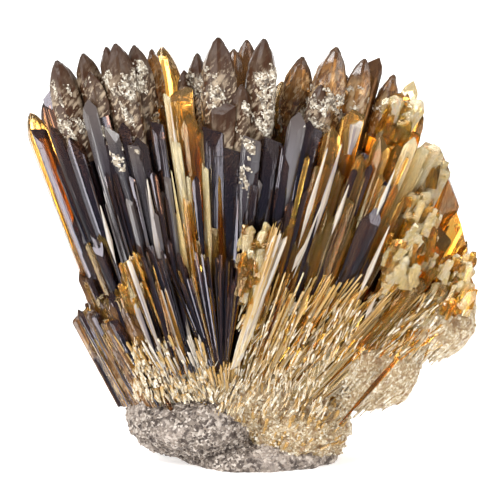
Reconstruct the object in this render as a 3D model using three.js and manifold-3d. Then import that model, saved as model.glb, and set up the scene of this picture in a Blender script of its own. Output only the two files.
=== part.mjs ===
// Calcite cluster: long calcite crystals that spread like a fan from a pale fibrous root,
// which grew on a lump of grey granular host rock. Millimetres, +Z up, front towards -Y.
import * as THREE from "three";
import { mergeVertices } from "three/addons/utils/BufferGeometryUtils.js";
import Module from "manifold-3d";

const wasm = await Module();
wasm.setup();

// Driving dimensions
const FRONT_TILT = THREE.MathUtils.degToRad(10); // heights below are as seen from this far above level
const CONTACT_GAP = 0.3; // hairline left between pieces that touch
const CORNERS = 6; // a calcite prism has six sides
const FOOT_SHARE = 0.46; // width of a crystal's foot over its full width
const STEM_SHARE = 0.8; // width of the bare stem under an overgrown cap, over the cap's width
const POINT_LENGTH = 0.85; // length of a crystal's point over its width
const STEPPED_WIDTH = 7.2; // from this width up, the faces of a point have two slopes
const BREAK_SHARE = 0.85; // how far up a broken crystal stays straight, over its length
const TURN_STEP = 0.7; // each crystal is turned about its axis by this much more than the last
const REACH = 200; // half the side of the cutting block

// Width of each corner of a prism over the mean: no crystal is quite regular.
const CORNER_SHARES = [1.0, 0.9, 1.08, 0.98, 0.86, 1.06];

// A place as the front view shows it: across, up the picture, and how far back it lies.
function place([across, up, back]) {
  const height = (up - back * Math.sin(FRONT_TILT)) / Math.cos(FRONT_TILT);
  return new THREE.Vector3(across, back, height);
}

// The tall crystals of the front, left to right. A cap is the rough overgrowth on a crystal's
// end, given by its length. An apex of 1 puts the point over the crystal's right-hand edge.
const FRONT_CRYSTALS = [
  { tip: [-43.6, 68.6, -1], foot: [-20, 4, 0], width: 5.6, apex: -0.3 },
  { tip: [-40.6, 70.8, 4], foot: [-19.5, 6, 2], width: 4.7 },
  { tip: [-39.6, 67.0, -5], foot: [-19.4, 6, -3], width: 4.3 },
  { tip: [-38.0, 78.8, -8], foot: [-17.5, 9, -4], width: 7.4, cap: 17 },
  { tip: [-32.8, 80.2, -9], foot: [-15, 9, -5], width: 6.0, cap: 11 },
  { tip: [-27.4, 81.8, -10], foot: [-12.5, 9, -6], width: 8.1, cap: 20 },
  { tip: [-22.8, 81.8, -7], foot: [-10.8, 9, -4], width: 5.8, cap: 16, apex: -0.4 },
  { tip: [-19.4, 81.6, 0], foot: [-10, 9, 0], width: 4.5 },
  { tip: [-17.4, 81.8, 4], foot: [-9.2, 9, 2], width: 6.7, apex: -0.5 },
  { tip: [-10.6, 80.4, 2], foot: [-7.6, 9, 1], width: 6.7, apex: 0.2 },
  { tip: [-6.2, 83.2, -11], foot: [-5.6, 10, -6], width: 8.3, cap: 19 },
  { tip: [-3.2, 81.4, 1], foot: [-4.4, 10, 0], width: 4.9 },
  { tip: [-0.6, 83.2, 6], foot: [-3, 10, 3], width: 5.2 },
  { tip: [2.8, 83.0, -10], foot: [-2.6, 10, -6], width: 8.3, cap: 22 },
  { tip: [10.2, 79.8, 3], foot: [-0.6, 10, 1], width: 8.1, apex: 0.6 },
  { tip: [16.8, 81.2, -9], foot: [2.4, 10, -5], width: 8.3, cap: 18, apex: 0.6 },
  { tip: [19.2, 76.2, 2], foot: [4, 9, 1], width: 4.5 },
  { tip: [22.4, 79.2, -6], foot: [5.6, 9, -4], width: 6.3, apex: 0.2 },
  { tip: [24.8, 79.8, -1], foot: [7, 9, -1], width: 6.0, apex: -0.2 },
  { tip: [28.4, 76.2, 1], foot: [9, 9, 0], width: 6.9, apex: -0.2 },
  { tip: [32.4, 75.2, 6], foot: [11, 9, 3], width: 4.3, apex: 0.5 },
  { tip: [33.0, 70.4, -3], foot: [13, 9, -2], width: 6.7 },
];

// Shorter crystals that stand before the tall ones, left to right.
const SHORT_CRYSTALS = [
  { tip: [-37.4, 62.4, -10], foot: [-18.4, 9, -5], width: 4.5 },
  { tip: [-26.4, 58.6, -13], foot: [-12.6, 10, -8], width: 5.0 },
  { tip: [-23.4, 62.4, -13], foot: [-11.4, 10, -8], width: 4.3 },
  { tip: [-20.0, 57.0, -13], foot: [-10.4, 10, -8], width: 4.8 },
  { tip: [-18.8, 67.4, -10], foot: [-9.8, 10, -6], width: 4.5 },
  { tip: [-14.2, 73.6, -12], foot: [-7.8, 11, -7], width: 6.9, broken: 0.25 },
  { tip: [-10.4, 62.0, -13], foot: [-7, 12, -8], width: 5.0 },
  { tip: [-1.6, 54.0, -13], foot: [-4, 12, -8], width: 5.6 },
  { tip: [6.8, 63.0, -13], foot: [-1, 12, -8], width: 5.4 },
  { tip: [10.4, 68.0, -14], foot: [0.6, 12, -8], width: 5.8, apex: 0.3 },
  { tip: [15.0, 61.6, -13], foot: [2.6, 12, -8], width: 4.8 },
  { tip: [18.6, 60.6, -13], foot: [4.8, 12, -8], width: 4.8 },
  { tip: [19.6, 54.6, -15], foot: [6.8, 12, -9], width: 4.5 },
  { tip: [21.4, 68.6, -12], foot: [7.6, 12, -7], width: 5.6, broken: -0.3 },
  { tip: [26.0, 62.4, -12], foot: [9.4, 12, -7], width: 5.6 },
  { tip: [24.4, 53.6, -15], foot: [9.6, 12, -9], width: 6.0 },
  { tip: [28.8, 54.0, -14], foot: [12, 12, -9], width: 5.6 },
  { tip: [28.6, 67.0, -10], foot: [10.6, 12, -6], width: 6.5, broken: 0.3 },
  { tip: [31.4, 69.4, -8], foot: [12.4, 12, -5], width: 6.0, broken: -0.2 },
  { tip: [34.8, 67.2, -6], foot: [14.6, 12, -4], width: 6.3, broken: 0.4 },
  { tip: [34.6, 62.4, -12], foot: [14.2, 12, -8], width: 5.2 },
  { tip: [36.8, 62.6, -8], foot: [17.4, 14, -6], width: 6.3, broken: 0.3 },
  { tip: [32.0, 49.6, -14], foot: [17.4, 16, -10], width: 8.6, broken: 0.4 },
  { tip: [29.6, 44.2, -16], foot: [17, 16, -11], width: 7.8, broken: -0.3 },
  { tip: [36.6, 38.6, -12], foot: [18, 12, -9], width: 5.2 },
  { tip: [33.8, 33.8, -14], foot: [17.4, 12, -10], width: 4.3 },
  { tip: [29.8, 21.4, -9], foot: [16, 6, -8], width: 3.7 },
  { tip: [1.6, 45.0, -16], foot: [-2.8, 24, -11], width: 8.0, broken: 0.2 },
  { tip: [-22.0, 40.0, -15], foot: [-15.4, 22, -10], width: 6.5, broken: -0.3 },
  { tip: [-35.2, 39.6, 1], foot: [-21.4, 8, 0], width: 5.8 },
  { tip: [-34.2, 36.0, -5], foot: [-20.8, 8, -3], width: 6.0 },
  { tip: [-31.0, 31.6, -9], foot: [-19.4, 8, -6], width: 6.3 },
  { tip: [-28.0, 33.6, -11], foot: [-17.4, 8, -7], width: 5.6 },
];

// Wide dog-tooth crystals of the right-hand side, which stand almost upright.
const SIDE_CRYSTALS = [
  { tip: [36.8, 62.4, 6], foot: [25, 18, 3], width: 13.5, point: 1.2, apex: 0.15 },
  { tip: [41.4, 48.0, 2], foot: [27, 16, 1], width: 9.6, point: 1.4, apex: 0.3 },
  { tip: [43.0, 42.0, -4], foot: [28, 16, -2], width: 8.4, point: 1.3, apex: 0.3 },
  { tip: [44.6, 36.0, 0], foot: [28, 14, 0], width: 8.0, point: 1.2, apex: 0.3 },
];

// Rows that close the cluster behind the front crystals. Each row is spread evenly between
// two ends, and its tips lie on a shallow arch.
const REAR_ROWS = [
  { count: 8, ends: [-33, 30], crown: 76, back: 9, foot: 2, width: 9.0, drop: 9, ragged: 3 },
  { count: 10, ends: [-37, 34], crown: 71, back: 16, foot: 4, width: 9.4, drop: 12, ragged: 6 },
  { count: 6, ends: [-33, 32], crown: 47, back: 19, foot: 5, width: 9.4, drop: 6, ragged: 12 },
];
const REAR_SPREAD = 0.44; // how far a rear crystal's foot lies across, over its tip
const REAR_FOOT = 10;
const REAR_SCATTER = 3; // how far a rear tip strays from its row across and in depth

// The core, where the crystals run together: rings of [up, half width, half depth, across].
const CORE_RINGS = [
  [6, 15, 6, -2],
  [26, 25, 10, 0],
  [48, 31.5, 12.5, -1],
  [66, 34, 12.5, -3],
];
const CORE_SIDES = 12;

// Lumps of the pale root and of the host rock: centre, half axes, and how rough they are.
const ROOT_LUMPS = [
  { centre: [-1, 14, 1], half: [22, 12, 15], rough: 0.1, detail: 3, seed: 3 },
  { centre: [-19, 19, -1], half: [8, 12, 10], rough: 0.12, detail: 2, seed: 5 },
  { centre: [9, 6, -1], half: [10.5, 8, 12.6], rough: 0.12, detail: 2, seed: 7 },
  { centre: [24, 20, 2], half: [9, 10.5, 11.6], rough: 0.16, detail: 2, seed: 11 },
  { centre: [34, 28, 1], half: [8.6, 7.6, 9], rough: 0.18, detail: 2, seed: 13 },
];
const ROCK_LUMPS = [
  { centre: [-11.5, 7.3, -1], half: [14, 8.2, 14], rough: 0.14, detail: 4, seed: 21 },
  { centre: [2, 1, -1], half: [15, 5, 13], rough: 0.14, detail: 2, seed: 23 },
];

// The pale bundles of fibres that climb from the root between the crystals. Each entry is how
// far across a bundle's end lies, how high it reaches and how wide it is.
const FIBRE_ENDS = [
  [-31.6, 24.4, 6.4],
  [-27.4, 26.6, 5.2],
  [-23.6, 23.6, 6.6],
  [-19.2, 22.0, 5.4],
  [-15.4, 19.4, 6.6],
  [-11.0, 17.0, 5.4],
  [-6.6, 16.6, 5.0],
  [-2.4, 22.4, 5.2],
  [0.6, 30.0, 5.6],
  [4.8, 43.6, 5.4],
  [7.0, 33.0, 6.2],
  [10.8, 30.4, 5.4],
  [14.6, 27.0, 7.0],
  [19.2, 28.0, 6.0],
  [23.4, 25.4, 7.0],
  [28.2, 28.6, 6.2],
  [32.4, 33.0, 7.0],
  [17.4, 19.4, 7.4],
  [24.2, 17.4, 7.0],
];
const FIBRE_FOOT = [0.4, 5, -6]; // share of the end's place across, then up and back
const FIBRE_BACK = -13.8;
const FIBRE_WANDER = 1.6; // how far a bundle's end strays in depth
const HALF_SPREAD = 42; // the front is bowed: at this many radians' worth across it turns back

// The blunt bundles that end in the ragged right-hand flank.
const FLANK_BUNDLES = [
  { tip: [43.4, 32.4, -3], foot: [16, 14, -2], width: 9.0, broken: 0.3 },
  { tip: [42.6, 29.0, 5], foot: [16, 12, 2], width: 8.4, broken: -0.2 },
  { tip: [39.6, 25.0, -7], foot: [14, 12, -4], width: 8.0, broken: 0.2 },
  { tip: [36.4, 21.4, 2], foot: [13, 10, 1], width: 8.6, broken: 0.1 },
  { tip: [32.8, 15.6, -6], foot: [11, 8, -3], width: 8.0, broken: -0.3 },
  { tip: [29.0, 12.0, 2], foot: [9, 6, 1], width: 7.6, broken: 0.2 },
  { tip: [20.6, 8.6, -11], foot: [7, 3, -7], width: 7.4, broken: 0.2 },
];

// Repeatable random numbers from 0 to 1.
function seededRandom(seed) {
  let state = seed;
  return () => {
    state = (state * 1664525 + 1013904223) % 4294967296;
    return state / 4294967296;
  };
}

// A closed three.js geometry as a solid.
function solidOf(geometry) {
  geometry.deleteAttribute("normal");
  geometry.deleteAttribute("uv");
  const merged = mergeVertices(geometry, 1e-4);
  const faces = [];
  const index = merged.index.array;
  for (let i = 0; i < index.length; i += 3) {
    const [a, b, c] = index.slice(i, i + 3);
    if (a !== b && b !== c && c !== a) faces.push(a, b, c);
  }
  const mesh = new wasm.Mesh({
    numProp: 3,
    vertProperties: new Float32Array(merged.attributes.position.array),
    triVerts: new Uint32Array(faces),
  });
  return new wasm.Manifold(mesh);
}

function joined(solids) {
  return solids.reduce((whole, solid) => whole.add(solid));
}

// The largest connected body of a solid, with any sealed hollow filled.
function largestBody(solid) {
  const bodies = solid.decompose();
  return bodies.reduce((best, body) => (body.volume() > best.volume() ? body : best));
}

// The half profile of a crystal as [radius, height] pairs, from its foot to its point.
function crystalProfile({ width, half, length, shoulder, cap, broken }) {
  const profile = [[0, 0], [half * FOOT_SHARE, 0]];
  if (broken !== undefined) {
    profile.push([half, length * BREAK_SHARE], [half, length], [0, length]);
    return profile;
  }
  if (cap) {
    const ledge = length - cap;
    profile.push([half * STEM_SHARE, ledge], [half, ledge + half * 0.4]);
  }
  profile.push([half, shoulder]);
  if (width >= STEPPED_WIDTH) {
    profile.push([half * 0.6, THREE.MathUtils.lerp(shoulder, length, 0.6)]);
  }
  profile.push([0, length]);
  return profile;
}

// One crystal from foot to tip. Its six corners differ, its point may lie off its axis, and a
// broken one ends in a slanting fracture instead of a point.
function crystal(spec, order, grow = 0) {
  const tip = place(spec.tip);
  const foot = place(spec.foot);
  const axis = tip.sub(foot);
  const length = axis.length() + grow;
  const half = spec.width / 2 + grow;
  const shoulder = length - spec.width * (spec.point ?? POINT_LENGTH);
  const profile = crystalProfile({ ...spec, half, length, shoulder });
  const points = profile.map(([radius, height]) => new THREE.Vector2(radius, height));
  const geometry = new THREE.LatheGeometry(points, CORNERS);
  const position = geometry.attributes.position;
  const apexShift = (spec.apex ?? 0) * half;
  const spin = new THREE.Matrix4().makeRotationY(order * TURN_STEP);
  const vertex = new THREE.Vector3();
  for (let i = 0; i < position.count; i += 1) {
    vertex.fromBufferAttribute(position, i);
    const column = Math.floor(i / points.length) % CORNERS;
    const share = CORNER_SHARES[(column + order) % CORNERS];
    const height = vertex.y;
    vertex.multiplyScalar(share).setY(height).applyMatrix4(spin);
    const pointShare = Math.max(0, (height - shoulder) / (length - shoulder));
    if (spec.broken === undefined) vertex.x += apexShift * pointShare;
    else if (height === length) vertex.y += 2 * spec.broken * vertex.x;
    position.setXYZ(i, vertex.x, vertex.y, vertex.z);
  }
  const up = axis.normalize();
  const deep = new THREE.Vector3(1, 0, 0).cross(up).normalize();
  const across = up.clone().cross(deep);
  const frame = new THREE.Matrix4().makeBasis(across, up, deep).setPosition(foot);
  return solidOf(geometry.applyMatrix4(frame));
}

// The rear rows as crystal specifications.
function rearCrystals() {
  const random = seededRandom(17);
  const stray = () => (random() - 0.5) * REAR_SCATTER;
  return REAR_ROWS.flatMap(({ count, ends, crown, back, foot, width, drop, ragged }) =>
    Array.from({ length: count }, (_, i) => {
      const share = i / (count - 1);
      const across = THREE.MathUtils.lerp(ends[0], ends[1], share) + stray();
      const sag = (2 * share - 1) ** 2;
      const up = crown - drop * sag + ragged * (random() - 0.5);
      return {
        tip: [across, up, back * (1 - 0.25 * sag) + stray()],
        foot: [across * REAR_SPREAD, REAR_FOOT, foot],
        width: width * (0.8 + 0.4 * random()),
        apex: random() - 0.5,
      };
    }),
  );
}

// The solid core of the fan, as a stack of oval rings.
function fanCore() {
  const shape = new THREE.CylinderGeometry(1, 1, 1, CORE_SIDES, CORE_RINGS.length - 1);
  const position = shape.attributes.position;
  for (let i = 0; i < position.count; i += 1) {
    const level = Math.round((position.getY(i) + 0.5) * (CORE_RINGS.length - 1));
    const [up, halfWidth, halfDepth, across] = CORE_RINGS[level];
    const x = position.getX(i) * halfWidth + across;
    const y = -position.getZ(i) * halfDepth + 1;
    position.setXYZ(i, x, y, up);
  }
  return solidOf(shape);
}

// A rough lump: a sphere of flat facets, pushed in and out at random and stretched.
function lump({ centre, half, rough, detail, seed }, grow) {
  const [across, up, back] = centre;
  const [halfWidth, halfHeight, halfDepth] = half;
  const middle = place([across, up, back]);
  const ball = mergeVertices(
    new THREE.IcosahedronGeometry(1, detail).deleteAttribute("normal").deleteAttribute("uv"),
    1e-4,
  );
  const random = seededRandom(seed);
  const position = ball.attributes.position;
  for (let i = 0; i < position.count; i += 1) {
    const swell = 1 + rough * (random() - 0.5) * 2;
    position.setXYZ(
      i,
      middle.x + position.getX(i) * (halfWidth * swell + grow),
      middle.y + position.getY(i) * (halfDepth * swell + grow),
      middle.z + position.getZ(i) * (halfHeight * swell + grow),
    );
  }
  return solidOf(ball);
}

// Everything above the surface that the cluster rests on.
function cutFlat(solid) {
  const block = new THREE.BoxGeometry(2 * REACH, 2 * REACH, REACH).translate(0, 0, REACH / 2);
  return solid.intersect(solidOf(block));
}

function hostRock(grow = 0) {
  return cutFlat(joined(ROCK_LUMPS.map((spec) => lump(spec, grow))));
}

// The fibre bundles of the root's front as crystal specifications.
function rootFibres() {
  const random = seededRandom(29);
  const [footShare, footUp, footBack] = FIBRE_FOOT;
  return FIBRE_ENDS.map(([across, up, width]) => ({
    tip: [across, up, FIBRE_BACK * Math.cos(across / HALF_SPREAD) + FIBRE_WANDER * random()],
    foot: [across * footShare, footUp, footBack],
    width,
    point: 1.2,
    apex: random() - 0.5,
  }));
}

function paleRoot(grow = 0) {
  const lumps = ROOT_LUMPS.map((spec) => lump(spec, grow));
  const bundles = [...rootFibres(), ...FLANK_BUNDLES];
  const fibres = bundles.map((spec, i) => crystal(spec, i + 2, grow));
  return cutFlat(joined([...lumps, ...fibres]));
}

function crystalFan() {
  const specs = [...FRONT_CRYSTALS, ...SHORT_CRYSTALS, ...SIDE_CRYSTALS, ...rearCrystals()];
  return joined([fanCore(), ...specs.map((spec, i) => crystal(spec, i))]);
}

// A named mesh with its finish.
function piece(name, solid, colour, roughness) {
  const { vertProperties, triVerts } = largestBody(solid).getMesh();
  const geometry = new THREE.BufferGeometry();
  geometry.setAttribute("position", new THREE.BufferAttribute(vertProperties, 3));
  geometry.setIndex(new THREE.BufferAttribute(triVerts, 1));
  geometry.computeVertexNormals();
  const finish = new THREE.MeshStandardMaterial({ color: colour, roughness, metalness: 0 });
  finish.flatShading = true;
  const mesh = new THREE.Mesh(geometry, finish);
  mesh.name = name;
  return mesh;
}

const cluster = new THREE.Group();
cluster.add(piece("host_rock", hostRock(), 0x9a8f85, 0.95));
cluster.add(piece("pale_root", paleRoot().subtract(hostRock(CONTACT_GAP)), 0xd9c49a, 0.7));
const bed = paleRoot(CONTACT_GAP).add(hostRock(CONTACT_GAP));
cluster.add(piece("crystal_fan", crystalFan().subtract(bed), 0x4a2f22, 0.15));

export default cluster;
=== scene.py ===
"""Looks of the calcite cluster: clear crystals, crusted ends, a fibrous root and granular rock.

Every size is in millimetres in the tables and turned into metres where a mesh is placed. Places
are given as the front view shows them: across, up the picture, and how far back they lie.
"""
from __future__ import annotations

import logging
import math
import random
from collections.abc import Callable, Iterator, Sequence
from contextlib import contextmanager
from dataclasses import dataclass, field
from enum import Enum

import bmesh
import bpy
import numpy as np
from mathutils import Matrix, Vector, noise


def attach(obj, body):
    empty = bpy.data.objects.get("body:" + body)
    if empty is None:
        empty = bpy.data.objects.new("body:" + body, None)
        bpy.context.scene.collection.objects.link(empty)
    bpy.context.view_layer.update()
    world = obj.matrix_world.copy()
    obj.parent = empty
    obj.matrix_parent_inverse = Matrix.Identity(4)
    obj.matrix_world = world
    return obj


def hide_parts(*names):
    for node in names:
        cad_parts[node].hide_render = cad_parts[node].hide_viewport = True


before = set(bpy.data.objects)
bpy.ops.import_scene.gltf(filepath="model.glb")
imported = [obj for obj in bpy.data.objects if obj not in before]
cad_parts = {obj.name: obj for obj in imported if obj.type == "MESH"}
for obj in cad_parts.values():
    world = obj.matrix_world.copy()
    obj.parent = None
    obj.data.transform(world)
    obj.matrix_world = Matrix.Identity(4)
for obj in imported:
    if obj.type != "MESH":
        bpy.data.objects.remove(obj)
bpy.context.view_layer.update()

LOG = logging.getLogger("calcite_cluster")
MM = 0.001
FRONT_TILT = math.radians(10)  # the front view looks down by this much
PICTURE_MIDDLE = 41.6  # height of the picture's middle, as the front view shows it
PICTURE_WIDTH = 0.100  # what the front view takes in at the object, in metres
CAMERA_DISTANCE = 1.2
SENSOR = 36.0
TABLE_SEED = 7

Colour = tuple[float, float, float]
Spot = tuple[float, float, float]
Range = tuple[float, float]


class Tone(Enum):
    """The kinds of material that small parts are made of."""

    SMOKE = "smoky_crystals"
    HONEY = "honey_crystals"
    PALE = "pale_crystals"
    # Pale crystals; on blades and thorns their grey to white colour is a painted reflection of the
    # studio's light on flat faces.
    PALE_AND_SHEEN = "pale_and_painted_sheen_crystals"
    # Dark crystals; their lighter grey is a painted reflection of the studio's light on flat faces.
    DARK_AND_SHEEN = "dark_and_painted_sheen_crystals"
    BROWN = "brown_caps"
    AMBER = "amber_caps"
    CREAM = "root_fibres"
    SUGAR = "root_sugar"
    GRIT = "rock_grains"


class Habit(Enum):
    """The shapes that a crystal can have."""

    DOGTOOTH = "dogtooth"
    CHISEL = "chisel"
    BULLET = "bullet"
    CAP = "cap"
    BROKEN = "broken"
    THORN = "thorn"
    SHOULDER = "shoulder"
    NEEDLE = "needle"
    CHUNK = "chunk"


def place(spot: Spot) -> Vector:
    """Turn a place in the front view into a point of the frame.

    Args:
        spot: millimetres across, up the picture and back.

    Returns:
        The point in metres.
    """
    across, up, back = spot
    height = (up - back * math.sin(FRONT_TILT)) / math.cos(FRONT_TILT)
    return Vector((across, back, height)) * MM


def spot_of(point: Vector) -> Spot:
    """Return a point of the frame as the front view's across, up and back."""
    up = point.z * math.cos(FRONT_TILT) + point.y * math.sin(FRONT_TILT)
    return (point.x / MM, up / MM, point.y / MM)


def between(start: Sequence[float], end: Sequence[float], share: float) -> tuple[float, ...]:
    """Return the place at a share of the way from a start to an end."""
    return tuple(a + (b - a) * share for a, b in zip(start, end))


def activate(piece: bpy.types.Object) -> None:
    """Make a piece the only one that is selected."""
    bpy.ops.object.select_all(action="DESELECT")
    piece.select_set(True)
    bpy.context.view_layer.objects.active = piece


@contextmanager
def editing(piece: bpy.types.Object) -> Iterator[None]:
    """Keep a piece in edit mode for the length of a with block.

    Args:
        piece: the mesh to edit.
    """
    activate(piece)
    bpy.ops.object.mode_set(mode="EDIT")
    try:
        yield
    finally:
        bpy.ops.object.mode_set(mode="OBJECT")


def pick_faces(piece: bpy.types.Object, wanted: Callable[[Vector, Vector], bool]) -> int:
    """Select faces of a piece in edit mode by their centre and normal.

    Args:
        piece: the mesh in edit mode.
        wanted: says whether a face with this centre and normal is selected.

    Returns:
        How many faces are selected.
    """
    bpy.ops.mesh.select_mode(type="FACE")
    bpy.ops.mesh.select_all(action="DESELECT")
    shape = bmesh.from_edit_mesh(piece.data)
    found = [face for face in shape.faces if wanted(face.calc_center_median(), face.normal)]
    for face in found:
        face.select_set(True)
    bmesh.update_edit_mesh(piece.data)
    return len(found)


def pick_edges(piece: bpy.types.Object, wanted: Callable[[Vector, Vector], bool]) -> int:
    """Select edges of a piece in edit mode by their two ends.

    Args:
        piece: the mesh in edit mode.
        wanted: says whether an edge with these ends is selected.

    Returns:
        How many edges are selected.
    """
    bpy.ops.mesh.select_mode(type="EDGE")
    bpy.ops.mesh.select_all(action="DESELECT")
    shape = bmesh.from_edit_mesh(piece.data)
    found = [edge for edge in shape.edges if wanted(edge.verts[0].co, edge.verts[1].co)]
    for edge in found:
        edge.select_set(True)
    bmesh.update_edit_mesh(piece.data)
    return len(found)


def apply_modifiers(piece: bpy.types.Object) -> None:
    """Apply every modifier of a piece in order."""
    activate(piece)
    for name in [modifier.name for modifier in piece.modifiers]:
        bpy.ops.object.modifier_apply(modifier=name)


def settle(piece: bpy.types.Object) -> None:
    """Put a piece's place and turn into its mesh, so that its object sits at the origin."""
    activate(piece)
    bpy.ops.object.transform_apply(location=True, rotation=True, scale=True)


def join(pieces: Sequence[bpy.types.Object], name: str) -> bpy.types.Object:
    """Join several pieces into one mesh.

    Args:
        pieces: the pieces to join; all of them go into the first.
        name: the name of the joined piece.

    Returns:
        The joined piece.
    """
    activate(pieces[0])
    for piece in pieces:
        piece.select_set(True)
    if len(pieces) > 1:
        bpy.ops.object.join()
    joined = bpy.context.view_layer.objects.active
    joined.name = name
    joined.data.name = name
    return joined


def duplicate(piece: bpy.types.Object, name: str) -> bpy.types.Object:
    """Copy a piece with a mesh of its own.

    Args:
        piece: the piece to copy.
        name: the copy's name.

    Returns:
        The copy.
    """
    copy = piece.copy()
    copy.data = piece.data.copy()
    copy.name = name
    copy.hide_render = False
    bpy.context.scene.collection.objects.link(copy)
    return copy


def coordinates(mesh: bpy.types.Mesh) -> np.ndarray:
    """Return the places of a mesh's vertices as rows of three numbers."""
    flat = np.empty(len(mesh.vertices) * 3)
    mesh.vertices.foreach_get("co", flat)
    return flat.reshape(-1, 3)


def mark_points(mesh: bpy.types.Mesh, name: str, kind: str, values: np.ndarray) -> None:
    """Store a number or a vector for each vertex.

    Args:
        mesh: the mesh that gets the attribute.
        name: the attribute's name.
        kind: FLOAT or FLOAT_VECTOR.
        values: one value for each vertex.
    """
    attribute = mesh.attributes.new(name, kind, "POINT")
    key = "value" if kind == "FLOAT" else "vector"
    attribute.data.foreach_set(key, np.asarray(values, np.float32).ravel())


def displace(piece: bpy.types.Object, size: float, strength: float, depth: int = 2) -> None:
    """Add a Displace modifier that roughens a piece.

    Args:
        piece: the piece to roughen.
        size: the size of the lumps, in the piece's units.
        strength: how far the surface moves from its lowest to its highest.
        depth: how many finer layers the noise has.
    """
    texture = bpy.data.textures.new(f"{piece.name}_rough", type="CLOUDS")
    texture.noise_scale = size
    texture.noise_depth = depth
    modifier = piece.modifiers.new("Rough", "DISPLACE")
    modifier.texture = texture
    modifier.texture_coords = "LOCAL"
    modifier.strength = strength
    modifier.mid_level = 0.5


@dataclass(frozen=True)
class Cut:
    """A flat face of a crystal's end.

    Attributes:
        azimuth: the way it faces round the crystal, in degrees.
        slope: the angle of its normal from the crystal's axis, in degrees.
        height: where its plane meets the axis, above the shaft, in widths.
    """

    azimuth: float
    slope: float
    height: float


@dataclass
class Mould:
    """A crystal one wide, on a shaft one long, that is copied to make all of its habit.

    Attributes:
        name: the mould's name.
        corners: the distance of each corner from the axis, over the mean.
        profile: height and width of each ring, from the foot up.
        cuts: the flat faces of its end.
        rib: the width of the narrow faces along its corners, 0 for none.
        panel: how far in the raised panels on its sides start, 0 for none.
        rough: how far its surface is pushed in and out, 0 for none.
        apex: how far its end reaches above its shaft, in widths; found when it is built.
    """

    name: str
    corners: tuple[float, ...]
    profile: tuple[Range, ...]
    cuts: tuple[Cut, ...] = ()
    rib: float = 0.0
    panel: float = 0.0
    rough: float = 0.0
    apex: float = 0.0
    piece: bpy.types.Object | None = None

    UPRIGHT = 0.9  # a normal with more than this along the axis belongs to an end face
    SIDEWAYS = 0.5  # a normal with less than this along the axis belongs to a side
    RING_MARGIN = 1e-4  # how far below a ring its faces are looked for
    PANEL_STEP = 0.02  # how far a panel stands out
    LONG_EDGE = 0.05  # edges that climb more than this are corners of the prism
    LUMP_SIZE = 0.35  # the size of the lumps on a rough crystal, in widths
    FACET_ANGLE = math.radians(16)  # faces of a rough crystal that meet flatter look smooth

    def build(self) -> None:
        """Model the crystal and measure its end."""
        (_, foot), (first, share) = self.profile[:2]
        bpy.ops.mesh.primitive_cylinder_add(
            vertices=len(self.corners), radius=0.5 * share, depth=first, location=(0, 0, first / 2)
        )
        piece = bpy.context.active_object
        piece.name = self.name
        settle(piece)
        with editing(piece):
            pick_faces(piece, lambda centre, normal: normal.z < -self.UPRIGHT)
            bpy.ops.transform.resize(value=(foot / share, foot / share, 1))
            self._add_rings(piece)
        self._shift_corners(piece)
        with editing(piece):
            self._add_ribs(piece)
            self._add_panels(piece)
            self._cut_end(piece)
        if self.rough:
            self._roughen(piece)
        self.apex = float(coordinates(piece.data)[:, 2].max()) - 1
        piece.hide_render = True
        self.piece = piece

    def _add_rings(self, piece: bpy.types.Object) -> None:
        """Extrude the upper face from ring to ring."""
        for (start, before), (end, share) in zip(self.profile[1:], self.profile[2:]):
            self._pick_top(piece, start - self.RING_MARGIN)
            climb = (0, 0, end - start)
            bpy.ops.mesh.extrude_region_move(TRANSFORM_OT_translate={"value": climb})
            bpy.ops.transform.resize(value=(share / before, share / before, 1))

    def _pick_top(self, piece: bpy.types.Object, height: float) -> None:
        """Select the face that looks up above a height."""
        pick_faces(
            piece, lambda centre, normal: normal.z > self.UPRIGHT and centre.z > height
        )

    def _shift_corners(self, piece: bpy.types.Object) -> None:
        """Move each corner in or out."""
        count = len(self.corners)
        for vertex in piece.data.vertices:
            turn = math.atan2(vertex.co.x, vertex.co.y) / math.tau * count
            share = self.corners[round(turn) % count]
            vertex.co.x *= share
            vertex.co.y *= share

    def _add_ribs(self, piece: bpy.types.Object) -> None:
        """Bevel the long corners into narrow faces."""
        if self.rib and pick_edges(piece, lambda a, b: abs(a.z - b.z) > self.LONG_EDGE):
            bpy.ops.mesh.bevel(offset=self.rib, segments=1, affect="EDGES")

    def _add_panels(self, piece: bpy.types.Object) -> None:
        """Raise a panel on the sides, which leaves steps along the crystal."""
        if self.panel and pick_faces(piece, lambda _, normal: abs(normal.z) < self.SIDEWAYS):
            bpy.ops.mesh.inset(
                thickness=self.panel, depth=self.PANEL_STEP, use_individual=True
            )

    def _cut_end(self, piece: bpy.types.Object) -> None:
        """Cut the end with the mould's planes."""
        for cut in self.cuts:
            azimuth = math.radians(cut.azimuth)
            slope = math.radians(cut.slope)
            normal = (
                math.cos(azimuth) * math.sin(slope),
                math.sin(azimuth) * math.sin(slope),
                math.cos(slope),
            )
            bpy.ops.mesh.select_all(action="SELECT")
            bpy.ops.mesh.bisect(
                plane_co=(0, 0, 1 + cut.height), plane_no=normal, use_fill=True, clear_outer=True
            )

    def _roughen(self, piece: bpy.types.Object) -> None:
        """Divide the faces finely and push them in and out."""
        with editing(piece):
            bpy.ops.mesh.select_all(action="SELECT")
            bpy.ops.mesh.subdivide(number_cuts=2)
        displace(piece, self.LUMP_SIZE, self.rough, 3)
        apply_modifiers(piece)
        bpy.ops.object.shade_smooth_by_angle(angle=self.FACET_ANGLE)


@dataclass(frozen=True)
class Crystal:
    """One crystal of the cluster.

    Attributes:
        tip: where its end is, as the front view shows it.
        foot: where its foot is.
        width: its width in millimetres.
        tone: the kind of calcite.
        habit: its shape.
        turn: how far it is turned about its axis, in degrees.
        deep: its depth over its width.
        shade: how light it is, from 0 to 1.
    """

    tip: Spot
    foot: Spot
    width: float
    tone: Tone = Tone.SMOKE
    habit: Habit = Habit.CHISEL
    turn: float = 0.0
    deep: float = 0.8
    shade: float = 0.5


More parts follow.
